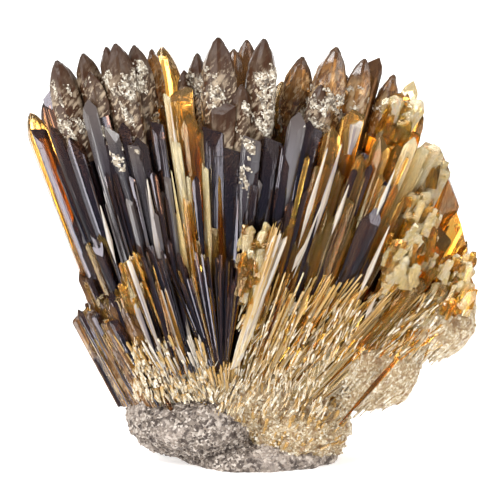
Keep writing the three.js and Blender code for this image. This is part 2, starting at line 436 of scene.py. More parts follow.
@dataclass
class Bundle:
    """Many slender crystals whose ends lie along one line and whose feet lie along another.

    Attributes:
        tips: where the line of ends starts and stops.
        feet: where the line of feet starts and stops.
        count: how many crystals it has.
        width: the narrowest and the widest of them.
        tones: the kinds of calcite, in the shares in which they occur.
        habits: the shapes, in the shares in which they occur.
        reach: the shortest and the longest, over the length from foot to end.
        shade: the darkest and the lightest.
        bow: how far the middle of the line of ends stands forward.
        scatter: how far an end strays from its line.
        fade: above 1, fewer of them are long.
    """

    tips: tuple[Spot, Spot]
    feet: tuple[Spot, Spot]
    count: int
    width: Range
    tones: tuple[Tone, ...]
    habits: tuple[Habit, ...] = (Habit.NEEDLE, Habit.NEEDLE, Habit.CHISEL)
    reach: Range = (0.6, 1.0)
    shade: Range = (0.0, 1.0)
    bow: float = 1.0
    scatter: float = 1.2
    fade: float = 1.0

    def crystals(self, numbers: random.Random) -> Iterator[Crystal]:
        """Yield the bundle's crystals.

        Args:
            numbers: the source of random numbers.

        Yields:
            One crystal after another.
        """
        for i in range(self.count):
            share = (i + numbers.random()) / self.count
            tip = list(between(*self.tips, share))
            foot = between(*self.feet, share)
            tip[0] += numbers.uniform(-1, 1) * self.scatter
            tip[2] += numbers.uniform(-1, 1) * self.scatter - self.bow * 4 * share * (1 - share)
            shortest, longest = self.reach
            reach = shortest + (longest - shortest) * numbers.random() ** self.fade
            yield Crystal(
                tip=between(foot, tip, reach),
                foot=foot,
                width=numbers.uniform(*self.width),
                tone=numbers.choice(self.tones),
                habit=numbers.choice(self.habits),
                turn=numbers.uniform(0, 60),
                shade=numbers.uniform(*self.shade),
            )


@dataclass
class Druse:
    """A crowd of small broken crystals that stand on the others.

    Attributes:
        middle: the middle of the crowd.
        half: how far it reaches across, up and back.
        lean: which way its crystals point, across and up.
        count: how many crystals it has.
        width: the narrowest and the widest.
        length: the shortest and the longest.
        tones: the kinds of calcite, in the shares in which they occur.
        shade: the darkest and the lightest.
        habits: the shapes, in the shares in which they occur.
    """

    middle: Spot
    half: Spot
    lean: tuple[float, float]
    count: int
    width: Range
    length: Range
    tones: tuple[Tone, ...]
    shade: Range = (0.3, 1.0)
    habits: tuple[Habit, ...] = (Habit.CHUNK, Habit.CHUNK, Habit.BROKEN)

    FORWARD = 0.15  # how far the crystals lean towards the viewer
    STRAY = 0.3  # how far a crystal strays from the way that they lean

    def crystals(self, numbers: random.Random) -> Iterator[Crystal]:
        """Yield the crowd's crystals.

        Args:
            numbers: the source of random numbers.

        Yields:
            One crystal after another.
        """
        for _ in range(self.count):
            spot = [m + h * numbers.uniform(-1, 1) for m, h in zip(self.middle, self.half)]
            way = Vector((*self.lean, -self.FORWARD)).normalized()
            way += Vector([numbers.uniform(-self.STRAY, self.STRAY) for _ in range(3)])
            reach = way.normalized() * numbers.uniform(*self.length) / 2
            yield Crystal(
                tip=(spot[0] + reach.x, spot[1] + reach.y, spot[2] + reach.z),
                foot=(spot[0] - reach.x, spot[1] - reach.y, spot[2] - reach.z),
                width=numbers.uniform(*self.width),
                tone=numbers.choice(self.tones),
                habit=numbers.choice(self.habits),
                turn=numbers.uniform(0, 90),
                shade=numbers.uniform(*self.shade),
            )


class Stock:
    """Copies of the moulds, kept by tone until each tone is joined into one piece."""

    LENGTHWISE = 0.05  # how much slower the streaks change along a crystal than across it
    BLOCKY = 0.5  # the same for broken blocks
    LONGEST_END = 0.7  # the most of a crystal's length that its end takes
    FIELD = 200  # how far apart two crystals' streaks can be read, in millimetres

    def __init__(self, moulds: dict[Habit, list[Mould]]) -> None:
        """Start an empty stock.

        Args:
            moulds: the moulds of each habit.
        """
        self.moulds = moulds
        self.made: dict[Tone, list[bpy.types.Object]] = {tone: [] for tone in Tone}
        self.random = random.Random(TABLE_SEED)

    def grow(self, *crystals: Crystal) -> None:
        """Copy a mould to where each crystal grows.

        Args:
            crystals: the crystals to make.
        """
        for crystal in crystals:
            self.made[crystal.tone].append(self.copy_of(crystal))

    def copy_of(self, crystal: Crystal) -> bpy.types.Object:
        """Copy a mould, stretch it and mark it for its streaks.

        Args:
            crystal: the crystal to make.

        Returns:
            The copy, with its place in its mesh.
        """
        mould = self.random.choice(self.moulds[crystal.habit])
        copy = duplicate(mould.piece, crystal.habit.value)
        foot = place(crystal.foot)
        axis = place(crystal.tip) - foot
        length = axis.length
        width = crystal.width * MM
        end = min(width, self.LONGEST_END * length / mould.apex)
        shaft = length - mould.apex * end
        shape = coordinates(copy.data)
        z = np.where(shape[:, 2] <= 1, shape[:, 2] * shaft, shaft + (shape[:, 2] - 1) * end)
        turn = math.radians(crystal.turn)
        x = (shape[:, 0] * math.cos(turn) - shape[:, 1] * math.sin(turn)) * width
        y = (shape[:, 0] * math.sin(turn) + shape[:, 1] * math.cos(turn)) * width * crystal.deep
        up = axis.normalized()
        side = (Vector((1, 0, 0)) - up * up.x).normalized()
        basis = np.array([side, up.cross(side), up])
        placed = np.stack([x, y, z], axis=1) @ basis + np.array(foot)
        copy.data.vertices.foreach_set("co", placed.ravel())
        shift = np.array([self.random.uniform(0, self.FIELD) for _ in range(3)])
        stretch = self.BLOCKY if crystal.habit is Habit.CHUNK else self.LENGTHWISE
        grain = np.stack([x, y, z * stretch], axis=1) / MM + shift
        mark_points(copy.data, "grain", "FLOAT_VECTOR", grain)
        mark_points(copy.data, "rise", "FLOAT", z / length)
        mark_points(copy.data, "shade", "FLOAT", np.full(len(x), crystal.shade))
        return copy

    def joined(self, tone: Tone, finish: Finish, effects: Effects, node: str) -> bpy.types.Object:
        """Join every crystal of a tone into one piece and give it its finish.

        Args:
            tone: the tone.
            finish: its finish.
            effects: the shared node groups.
            node: the solid that the piece replaces.

        Returns:
            The piece.
        """
        piece = join(self.made[tone], tone.value)
        dress(piece, finish, effects, node)
        return piece


def dress(piece: bpy.types.Object, finish: Finish, effects: Effects, node: str) -> None:
    """Give a piece its finish and tie it to its solid.

    Args:
        piece: the piece.
        finish: its finish.
        effects: the shared node groups.
        node: the solid that the piece replaces.
    """
    piece.data.materials.clear()
    piece.data.materials.append(finish.build(effects))
    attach(piece, "root")
    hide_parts(node)
    LOG.info("%s: %d faces", piece.name, len(piece.data.polygons))


class Tree:
    """A node tree that is written from left to right."""

    def __init__(self, tree: bpy.types.NodeTree) -> None:
        """Empty a node tree.

        Args:
            tree: the tree to write.
        """
        self.tree = tree
        tree.nodes.clear()

    def add(self, kind: str, inputs: dict | None = None, **settings: object) -> bpy.types.Node:
        """Add a node.

        Args:
            kind: the node's type.
            inputs: a value or another node's output for each input, by name or number.
            settings: the node's own settings.

        Returns:
            The node.
        """
        node = self.tree.nodes.new(kind)
        for key, value in settings.items():
            setattr(node, key, value)
        for key, value in (inputs or {}).items():
            if isinstance(value, bpy.types.NodeSocket):
                self.tree.links.new(value, node.inputs[key])
            else:
                node.inputs[key].default_value = value
        return node

    def mix(self, factor: object, first: object, second: object) -> bpy.types.NodeSocket:
        """Blend two colours.

        Args:
            factor: how much of the second, a number or an output.
            first: a colour or an output.
            second: a colour or an output.

        Returns:
            The blended colour.
        """
        colours = {
            0: factor,
            6: (*first, 1) if isinstance(first, tuple) else first,
            7: (*second, 1) if isinstance(second, tuple) else second,
        }
        return self.add("ShaderNodeMix", colours, data_type="RGBA").outputs[2]

    def spread(
        self, value: object, low: float, high: float, to: Range = (0.0, 1.0)
    ) -> bpy.types.NodeSocket:
        """Stretch a range of values smoothly over another.

        Args:
            value: the value to stretch.
            low: where the range starts.
            high: where the range ends.
            to: the values at its start and end.

        Returns:
            The stretched value.
        """
        inputs = {0: value, 1: low, 2: high, 3: to[0], 4: to[1]}
        settings = {"interpolation_type": "SMOOTHSTEP"}
        return self.add("ShaderNodeMapRange", inputs, **settings).outputs[0]

    def choose(self, switch: object, first: object, second: object) -> bpy.types.NodeSocket:
        """Return the first value where a switch is 0 and the second where it is 1."""
        return self.add("ShaderNodeMix", {0: switch, 2: first, 3: second}).outputs[0]

    def maths(self, operation: str, *values: object) -> bpy.types.NodeSocket:
        """Add a Math node and return its output."""
        inputs = dict(enumerate(values))
        return self.add("ShaderNodeMath", inputs, operation=operation).outputs[0]

    def noise(self, vector: object, scale: object, detail: float) -> bpy.types.NodeSocket:
        """Add a Noise Texture and return its value."""
        inputs = {"Vector": vector, "Scale": scale, "Detail": detail}
        return self.add("ShaderNodeTexNoise", inputs).outputs[0]

    def attribute(self, name: str, output: str) -> bpy.types.NodeSocket:
        """Read a mesh attribute and return one of its outputs."""
        return self.add("ShaderNodeAttribute", attribute_name=name).outputs[output]


def new_group(name: str, inputs: dict[str, str], outputs: Sequence[str]) -> bpy.types.NodeTree:
    """Make an empty shader node group.

    Args:
        name: the group's name.
        inputs: the socket type of each input.
        outputs: the names of its outputs, which are all values.

    Returns:
        The group.
    """
    group = bpy.data.node_groups.new(name, "ShaderNodeTree")
    for socket, kind in inputs.items():
        group.interface.new_socket(name=socket, in_out="INPUT", socket_type=kind)
    for socket in outputs:
        group.interface.new_socket(name=socket, in_out="OUTPUT", socket_type="NodeSocketFloat")
    return group


class Effects:
    """The node groups that several finishes share."""

    FINE_SHARE = 3.4  # how many fine streaks lie in the width of a broad one
    BROAD_RANGE = (0.42, 0.6)  # where in their noise the broad streaks start and are full
    FINE_RANGE = (0.44, 0.62)
    LUMP_SHARE = 0.3  # how many lumps lie in the width of a grain
    # Where in the lumps' noise the painted shade of the hollows starts and is full; low noise is low
    # relief.
    HOLLOW_SHADE_RANGE = (0.47, 0.36)
    PATCH_SCALE = 190.0  # pale patches in a metre
    PATCH_RANGE = (0.5, 0.58)

    def __init__(self) -> None:
        """Build each group once."""
        self.streaks = self._build_streaks()
        self.grains = self._build_grains()

    def _build_streaks(self) -> bpy.types.NodeTree:
        """Build the lengthwise streaks of clear crystals: two masks and a height."""
        sockets = {"Grain": "NodeSocketVector", "Size": "NodeSocketFloat"}
        group = new_group("LengthwiseStreaks", sockets, ("Broad", "Fine", "Height"))
        tree = Tree(group)
        start = tree.add("NodeGroupInput")
        grain, size = start.outputs["Grain"], start.outputs["Size"]
        broad = tree.noise(grain, size, 2.0)
        fine = tree.noise(grain, tree.maths("MULTIPLY", size, self.FINE_SHARE), 3.0)
        results = {
            "Broad": tree.spread(broad, *self.BROAD_RANGE),
            "Fine": tree.spread(fine, *self.FINE_RANGE),
            "Height": fine,
        }
        tree.add("NodeGroupOutput", results)
        return group

    def _build_grains(self) -> bpy.types.NodeTree:
        """Build the grains of rock, sugar and crust: tones, painted shade in the hollows, pale patches
        and a height.
        """
        sockets = {"Place": "NodeSocketVector", "Size": "NodeSocketFloat"}
        group = new_group("MineralGrains", sockets, ("Tone", "HollowShade", "Patches", "Height"))
        tree = Tree(group)
        start = tree.add("NodeGroupInput")
        spot = start.outputs["Place"]
        scale = tree.maths("DIVIDE", 1.0, start.outputs["Size"])
        cells = tree.add("ShaderNodeTexVoronoi", {"Vector": spot, "Scale": scale})
        tone = tree.add("ShaderNodeSeparateColor", {0: cells.outputs["Color"]}).outputs[0]
        lumps = tree.noise(spot, tree.maths("MULTIPLY", scale, self.LUMP_SHARE), 4.0)
        rounded = tree.maths("SUBTRACT", 1.0, cells.outputs["Distance"])
        patches = tree.noise(spot, self.PATCH_SCALE, 5.0)
        results = {
            "Tone": tone,
            "HollowShade": tree.spread(lumps, *self.HOLLOW_SHADE_RANGE),
            "Patches": tree.spread(patches, *self.PATCH_RANGE),
            "Height": tree.maths("MULTIPLY_ADD", lumps, 0.8, rounded),
        }
        tree.add("NodeGroupOutput", results)
        return group

    def place_streaks(self, tree: Tree, size: float) -> bpy.types.Node:
        """Place the streaks in a material.

        Args:
            tree: the material's nodes.
            size: how many streaks lie in a millimetre.

        Returns:
            The group's node.
        """
        node = tree.add("ShaderNodeGroup", node_tree=self.streaks)
        tree.tree.links.new(tree.attribute("grain", "Vector"), node.inputs["Grain"])
        node.inputs["Size"].default_value = size
        return node

    def place_grains(self, tree: Tree, size: float) -> bpy.types.Node:
        """Place the grains in a material.

        Args:
            tree: the material's nodes.
            size: the size of a grain in metres.

        Returns:
            The group's node.
        """
        node = tree.add("ShaderNodeGroup", node_tree=self.grains)
        spot = tree.add("ShaderNodeTexCoord").outputs["Object"]
        tree.tree.links.new(spot, node.inputs["Place"])
        node.inputs["Size"].default_value = size
        return node


@dataclass(frozen=True)
class ClearFinish:
    """Clear calcite, coloured by streaks and by depth.

    Attributes:
        name: the material's name.
        dark: its colour in the darkest crystals.
        light: its colour in the lightest crystals.
        streak: the colour of its lengthwise streaks.
        tip: the colour that it turns to at the crystals' ends.
        absorbed: the colour that its depth leaves.
        density: how strongly its depth absorbs, per metre.
        clear: how see-through it is, from 0 to 1.
        tip_start: where along a crystal the end's colour starts.
        roughness: how rough its faces are.
        relief: how deep its ribs look, in metres.
        streak_size: how many streaks lie in a millimetre.
        sheen_tint: the tint of what it reflects.
        ior: how strongly it bends light.
    """

    name: str
    dark: Colour
    light: Colour
    streak: Colour
    tip: Colour
    absorbed: Colour
    density: float
    clear: float = 0.9
    tip_start: float = 0.75
    roughness: float = 0.03
    relief: float = 0.00002
    streak_size: float = 1.1
    sheen_tint: Colour = (1.0, 1.0, 1.0)
    ior: float = 1.66

    RIB_ROUGHNESS = 0.08  # how much rougher the fine streaks are

    def build(self, effects: Effects) -> bpy.types.Material:
        """Build the material.

        Args:
            effects: the shared node groups.

        Returns:
            The material.
        """
        material = bpy.data.materials.new(self.name)
        material.use_nodes = True
        tree = Tree(material.node_tree)
        streaks = effects.place_streaks(tree, self.streak_size)
        body = tree.mix(tree.attribute("shade", "Fac"), self.dark, self.light)
        streaked = tree.mix(streaks.outputs["Broad"], body, self.streak)
        end = tree.spread(tree.attribute("rise", "Fac"), self.tip_start, 1.0)
        colour = tree.mix(end, streaked, self.tip)
        rougher = (self.roughness, self.roughness + self.RIB_ROUGHNESS)
        roughness = tree.spread(streaks.outputs["Fine"], 0.0, 1.0, rougher)
        bump = tree.add(
            "ShaderNodeBump",
            {"Height": streaks.outputs["Height"], "Distance": self.relief, "Strength": 1.0},
        )
        shader = tree.add(
            "ShaderNodeBsdfPrincipled",
            {
                "Base Color": colour,
                "Roughness": roughness,
                "Normal": bump.outputs[0],
                "Transmission Weight": self.clear,
                "IOR": self.ior,
                "Specular Tint": (*self.sheen_tint, 1),
            },
        )
        absorption = tree.add(
            "ShaderNodeVolumeAbsorption",
            {"Color": (*self.absorbed, 1), "Density": self.density},
        )
        output = tree.add("ShaderNodeOutputMaterial", {"Surface": shader.outputs[0]})
        tree.tree.links.new(absorption.outputs[0], output.inputs["Volume"])
        return material


@dataclass(frozen=True)
class MottledFinish:
    """Brown, half-clear calcite with white flecks, as on the overgrown ends.

    Attributes:
        name: the material's name.
        brown: its main colour.
        grey: the colour of its greyer patches.
        fleck: the colour of its scratches and smears.
        tip: the colour at its end.
        clear: how see-through it is, from 0 to 1.
        specular: how strongly it shines, half of it being a plain surface.
        roughness: how rough it is.
        relief: how deep its scratches look, in metres.
        flecks: where in their noise the scratches start and are full.
        smears: the same for the smears.
    """

    name: str
    brown: Colour
    grey: Colour
    fleck: Colour
    tip: Colour
    clear: float = 0.1
    specular: float = 0.2
    roughness: float = 0.32
    relief: float = 0.00018
    flecks: Range = (0.54, 0.62)
    smears: Range = (0.5, 0.66)

    STREAK_SIZE = 0.9  # streaks in a millimetre
    PATCH_SCALE = 260.0  # grey patches in a metre
    PATCH_RANGE = (0.42, 0.6)
    SCRATCH_SCALE = 1100.0
    SMEAR_SCALE = 420.0
    DENT_SCALE = 700.0
    SLANT = 0.6  # how far the scratches lean from upright, in radians
    DRAWN = (0.6, 1.0, 1.5)  # how long the scratches are along each axis
    LINES = 0.6  # how strongly the streaks show
    BARE = (0.5, 0.85)  # where along the crystal its flecks fade
    DARK_END = (0.7, 1.0)  # where along the crystal it turns to the colour of its end

    def build(self, effects: Effects) -> bpy.types.Material:
        """Build the material.

        Args:
            effects: the shared node groups.

        Returns:
            The material.
        """
        material = bpy.data.materials.new(self.name)
        material.use_nodes = True
        tree = Tree(material.node_tree)
        streaks = effects.place_streaks(tree, self.STREAK_SIZE)
        spot = tree.add("ShaderNodeTexCoord").outputs["Object"]
        patches = tree.spread(tree.noise(spot, self.PATCH_SCALE, 3.0), *self.PATCH_RANGE)
        drawn = tree.add(
            "ShaderNodeMapping",
            {"Vector": spot, "Rotation": (0.0, self.SLANT, 0.0), "Scale": self.DRAWN},
            vector_type="TEXTURE",
        ).outputs[0]
        scratches = tree.spread(tree.noise(drawn, self.SCRATCH_SCALE, 8.0), *self.flecks)
        smears = tree.spread(tree.noise(drawn, self.SMEAR_SCALE, 12.0), *self.smears)
        ground = tree.mix(patches, self.brown, self.grey)
        lines = tree.maths("MULTIPLY", streaks.outputs["Fine"], self.LINES)
        lined = tree.mix(lines, ground, self.tip)
        rise = tree.attribute("rise", "Fac")
        bare = tree.spread(rise, *self.BARE, (0.9, 0.1))
        pale = tree.maths("MAXIMUM", scratches, smears)
        flecked = tree.mix(tree.maths("MULTIPLY", pale, bare), lined, self.fleck)
        colour = tree.mix(tree.spread(rise, *self.DARK_END, (0.0, 0.8)), flecked, self.tip)
        dents = tree.noise(spot, self.DENT_SCALE, 4.0)
        bump = tree.add(
            "ShaderNodeBump",
            {"Height": dents, "Distance": self.relief, "Strength": 0.8},
        )
        shader = tree.add(
            "ShaderNodeBsdfPrincipled",
            {
                "Base Color": colour,
                "Roughness": self.roughness,
                "Normal": bump.outputs[0],
                "Transmission Weight": self.clear,
                "Specular IOR Level": self.specular,
            },
        )
        tree.add("ShaderNodeOutputMaterial", {"Surface": shader.outputs[0]})
        return material


@dataclass(frozen=True)
class GrainyFinish:
    """Opaque stone made of grains: rock, sugary calcite and crust.

    Attributes:
        name: the material's name.
        dark: the colour of its darkest grains.
        mid: its main colour.
        light: the colour of its lightest grains.
        hollow_shade: the colour painted where its relief is lowest, as shade in the hollows between its
            lumps.
        grain: the size of a grain in metres.
        hollow_shade_strength: how strongly the painted shade in the hollows shows.
        relief: how far the grains stand out, in metres.
        roughness: how rough it is.
        bleached: the colour of its pale patches.
        bleach: how strongly the pale patches show.
    """

    name: str
    dark: Colour
    mid: Colour
    light: Colour
    hollow_shade: Colour
    grain: float
    hollow_shade_strength: float = 0.8
    relief: float = 0.0002
    roughness: float = 0.75
    bleached: Colour = (0.8, 0.7, 0.55)
    bleach: float = 0.0

    def build(self, effects: Effects) -> bpy.types.Material:
        """Build the material.

        Args:
            effects: the shared node groups.

        Returns:
            The material.
        """
        material = bpy.data.materials.new(self.name)
        material.use_nodes = True
        tree = Tree(material.node_tree)
        grains = effects.place_grains(tree, self.grain)
        tone = grains.outputs["Tone"]
        darker = tree.mix(tree.spread(tone, 0.0, 0.5), self.dark, self.mid)
        lighter = tree.mix(tree.spread(tone, 0.55, 1.0), darker, self.light)
        pale = tree.maths("MULTIPLY", grains.outputs["Patches"], self.bleach)
        lighter = tree.mix(pale, lighter, self.bleached)
        # Painted shade: darker where the grains' relief is lowest.
        shaded_hollows = tree.maths("MULTIPLY", grains.outputs["HollowShade"], self.hollow_shade_strength)
        colour = tree.mix(shaded_hollows, lighter, self.hollow_shade)
        bump = tree.add(
            "ShaderNodeBump",
            {"Height": grains.outputs["Height"], "Distance": self.relief, "Strength": 0.8},
        )
        shader = tree.add(
            "ShaderNodeBsdfPrincipled",
            {"Base Color": colour, "Roughness": self.roughness, "Normal": bump.outputs[0]},
        )
        tree.add("ShaderNodeOutputMaterial", {"Surface": shader.outputs[0]})
        return material


Finish = ClearFinish | MottledFinish | GrainyFinish

SMOKE_FINISH = ClearFinish(
    name="smoky_calcite",
    dark=(0.035, 0.02, 0.028),
    light=(0.34, 0.16, 0.06),
    streak=(0.02, 0.012, 0.016),
    tip=(0.14, 0.07, 0.04),
    absorbed=(0.60, 0.32, 0.16),
    density=60.0,
    streak_size=0.7,
    sheen_tint=(0.92, 0.88, 1.0),
)
HONEY_FINISH = ClearFinish(
    name="honey_calcite",
    dark=(0.34, 0.09, 0.015),
    light=(1.0, 0.74, 0.16),
    # Golden streaks: partly the calcite's own banding, partly painted glints that stand in for light
    # caught inside the crystals.
    streak=(0.95, 0.44, 0.04),
    tip=(0.92, 0.56, 0.14),
    absorbed=(0.98, 0.60, 0.14),
    density=55.0,
    clear=0.94,
    relief=0.00005,
    streak_size=0.9,
    sheen_tint=(1.0, 0.84, 0.58),
)
PALE_FINISH = ClearFinish(
    name="pale_calcite",
    dark=(0.98, 0.66, 0.18),
    light=(1.0, 0.93, 0.72),
    streak=(0.98, 0.76, 0.32),
    tip=(1.0, 0.88, 0.56),
    absorbed=(0.99, 0.82, 0.40),
    density=60.0,
    clear=0.72,
    roughness=0.04,
    relief=0.00006,
    streak_size=1.6,
    sheen_tint=(1.0, 0.93, 0.8),
)
# Pale calcite of the ridge and root fibres; on the W blades and thorns its grey to white colours are a
# painted reflection of the studio's light on flat faces.
PALE_AND_SHEEN_FINISH = ClearFinish(
    name="pale_and_painted_sheen_calcite",
    dark=(0.30, 0.25, 0.25),
    light=(0.82, 0.76, 0.65),
    streak=(0.56, 0.46, 0.36),
    tip=(0.74, 0.65, 0.53),
    absorbed=(0.98, 0.90, 0.72),
    density=40.0,
    clear=0.35,
    roughness=0.1,
    relief=0.00004,
    streak_size=1.4,
)
# The dark colours are the calcite's own; the lighter greys are a painted reflection of the studio's light
# on flat faces.
DARK_AND_SHEEN_FINISH = ClearFinish(
    name="dark_and_painted_sheen_calcite",
    dark=(0.04, 0.034, 0.04),
    light=(0.23, 0.21, 0.22),
    streak=(0.045, 0.035, 0.04),
    tip=(0.12, 0.095, 0.085),
    absorbed=(0.60, 0.45, 0.40),
    density=60.0,
    clear=0.3,
    roughness=0.12,
    relief=0.00005,
    streak_size=0.6,
)
CAP_FINISH = MottledFinish(
    name="brown_cap_calcite",
    brown=(0.060, 0.024, 0.010),
    grey=(0.085, 0.050, 0.030),
    fleck=(0.50, 0.39, 0.27),
    tip=(0.04, 0.016, 0.007),
)
AMBER_CAP_FINISH = MottledFinish(
    name="amber_cap_calcite",
    brown=(0.36, 0.165, 0.045),
    grey=(0.15, 0.066, 0.024),
    fleck=(0.62, 0.44, 0.24),
    tip=(0.08, 0.034, 0.012),
    clear=0.42,
    specular=0.4,
    roughness=0.14,
)
CRUST_FINISH = GrainyFinish(
    name="white_crust",
    dark=(0.12, 0.085, 0.055),
    mid=(0.42, 0.35, 0.26),
    light=(0.80, 0.75, 0.64),
    hollow_shade=(0.06, 0.035, 0.02),
    grain=0.0004,
    roughness=0.6,
)
ROOT_FINISH = GrainyFinish(
    name="milky_calcite_root",
    dark=(0.32, 0.20, 0.09),
    mid=(0.46, 0.34, 0.19),
    light=(0.70, 0.61, 0.45),
    hollow_shade=(0.24, 0.13, 0.05),
    grain=0.0004,
    hollow_shade_strength=0.8,
    roughness=0.4,
)
SUGAR_FINISH = GrainyFinish(
    name="sugary_calcite",
    dark=(0.50, 0.36, 0.19),
    mid=(0.70, 0.60, 0.43),
    light=(0.92, 0.87, 0.76),
    hollow_shade=(0.34, 0.21, 0.09),
    grain=0.0004,
    hollow_shade_strength=0.5,
    roughness=0.3,
)
FIBRE_FINISH = ClearFinish(
    name="fibrous_calcite",
    dark=(0.74, 0.49, 0.18),
    light=(1.0, 0.94, 0.79),
    streak=(0.88, 0.69, 0.38),
    tip=(0.76, 0.48, 0.15),
    absorbed=(0.96, 0.78, 0.36),
    density=40.0,
    clear=0.5,
    tip_start=0.3,
    roughness=0.08,
    relief=0.00005,
    streak_size=2.2,
)
ROCK_FINISH = GrainyFinish(
    name="granular_rock",
    dark=(0.075, 0.055, 0.045),
    mid=(0.27, 0.22, 0.18),
    light=(0.66, 0.58, 0.51),
    hollow_shade=(0.05, 0.032, 0.026),
    grain=0.0005,
    bleached=(0.50, 0.42, 0.36),
    bleach=0.45,
)

S, H, P, B = Tone.SMOKE, Tone.HONEY, Tone.PALE, Tone.BROWN
W, L, A = Tone.PALE_AND_SHEEN, Tone.DARK_AND_SHEEN, Tone.AMBER
C, G = Tone.CREAM, Tone.SUGAR
TOOTH, CHISEL, BULLET = Habit.DOGTOOTH, Habit.CHISEL, Habit.BULLET
BROKEN, THORN, NEEDLE = Habit.BROKEN, Habit.THORN, Habit.NEEDLE
SHOULDER, CHUNK = Habit.SHOULDER, Habit.CHUNK

# The overgrown crystals of the front: tip, foot, width and length of the cap, and the tones of
# the stem and the cap.
CAPPED = (
    ((-38.0, 78.8, -8), (-17.5, 9, -4), 6.8, 21, S, B),
    ((-32.8, 80.2, -8), (-15, 9, -4), 5.4, 14, S, B),
    ((-31.4, 76.4, -11), (-14.6, 9, -6), 4.8, 9, S, B),
    ((-28.2, 81.4, -10), (-12.9, 9, -6), 5.6, 21, S, B),
    ((-26.4, 82.0, -11), (-12.1, 9, -6), 6.2, 23, S, B),
    ((-22.8, 81.8, -8), (-10.8, 9, -4), 5.4, 19, S, B),
    ((-19.4, 81.2, -4), (-9.8, 9, -2), 4.4, 12, H, A),
    ((-10.4, 80.4, -3), (-7.6, 9, 0), 6.0, 17, S, B),
    ((-13.0, 77.0, -5), (-7.6, 9, -2), 3.6, 12, S, B),
    ((-6.2, 83.2, -11), (-5.6, 10, -6), 7.8, 20, S, B),
    ((2.8, 83.0, -10), (-2.6, 10, -6), 7.4, 22, S, B),
    ((-1.6, 74.0, -12), (-3.8, 10, -7), 4.4, 17, S, B),
    ((10.4, 79.8, -1), (-0.6, 10, 0), 6.6, 14, H, A),
    ((17.0, 81.4, -9), (2.4, 10, -5), 7.2, 20, S, A),
    ((14.0, 74.0, -11), (1.6, 10, -6), 4.8, 14, S, B),
    ((19.0, 76.2, -3), (4, 9, 0), 4.0, 12, H, A),
    ((22.6, 79.2, -7), (5.6, 9, -4), 5.8, 16, H, A),
    ((28.4, 76.2, -4), (9, 9, -2), 6.0, 13, H, A),
)

# The clear crystals that show at the top behind and beside the capped ones.
TOP_CRYSTALS = (
    Crystal((-43.4, 68.8, -1), (-20, 4, 0), 5.0, H, BULLET, 10, 0.9, 0.15),
    Crystal((-42.0, 66.0, -3), (-20, 6, -1), 3.4, S, CHISEL, 0, 0.9, 0.9),
    Crystal((-40.8, 70.8, 1), (-19.5, 6, 1), 3.6, S, BULLET, 20, 0.9, 0.9),
    Crystal((-39.8, 73.0, -5), (-19.4, 6, -3), 4.0, S, TOOTH, 0, 0.9, 0.6),
    Crystal((-17.4, 81.8, 2), (-9.2, 9, 2), 6.8, H, BULLET, 15, 0.9, 0.4),
    Crystal((-21.0, 79.2, 3), (-10, 9, 2), 4.4, A, BULLET, 15, 0.9, 0.2),
    Crystal((-3.2, 81.4, 1), (-4.4, 10, 0), 4.6, A, BULLET, 12, 0.9, 0.8),
    Crystal((-0.6, 83.2, 2), (-3, 10, 3), 4.8, A, BULLET, 25, 0.9, 0.5),
    Crystal((6.4, 75.0, 2), (-1, 10, 3), 6.0, H, BULLET, 25, 0.9, 0.3),
    Crystal((24.9, 79.8, -3), (7, 9, -1), 4.8, A, TOOTH, 20, 0.9, 0.7),
    Crystal((32.4, 75.2, 5), (11, 9, 3), 3.6, P, TOOTH, 10, 0.9, 0.5),
    Crystal((33.0, 70.4, -1), (13, 9, -2), 6.6, H, TOOTH, 18, 0.9, 0.5),
)

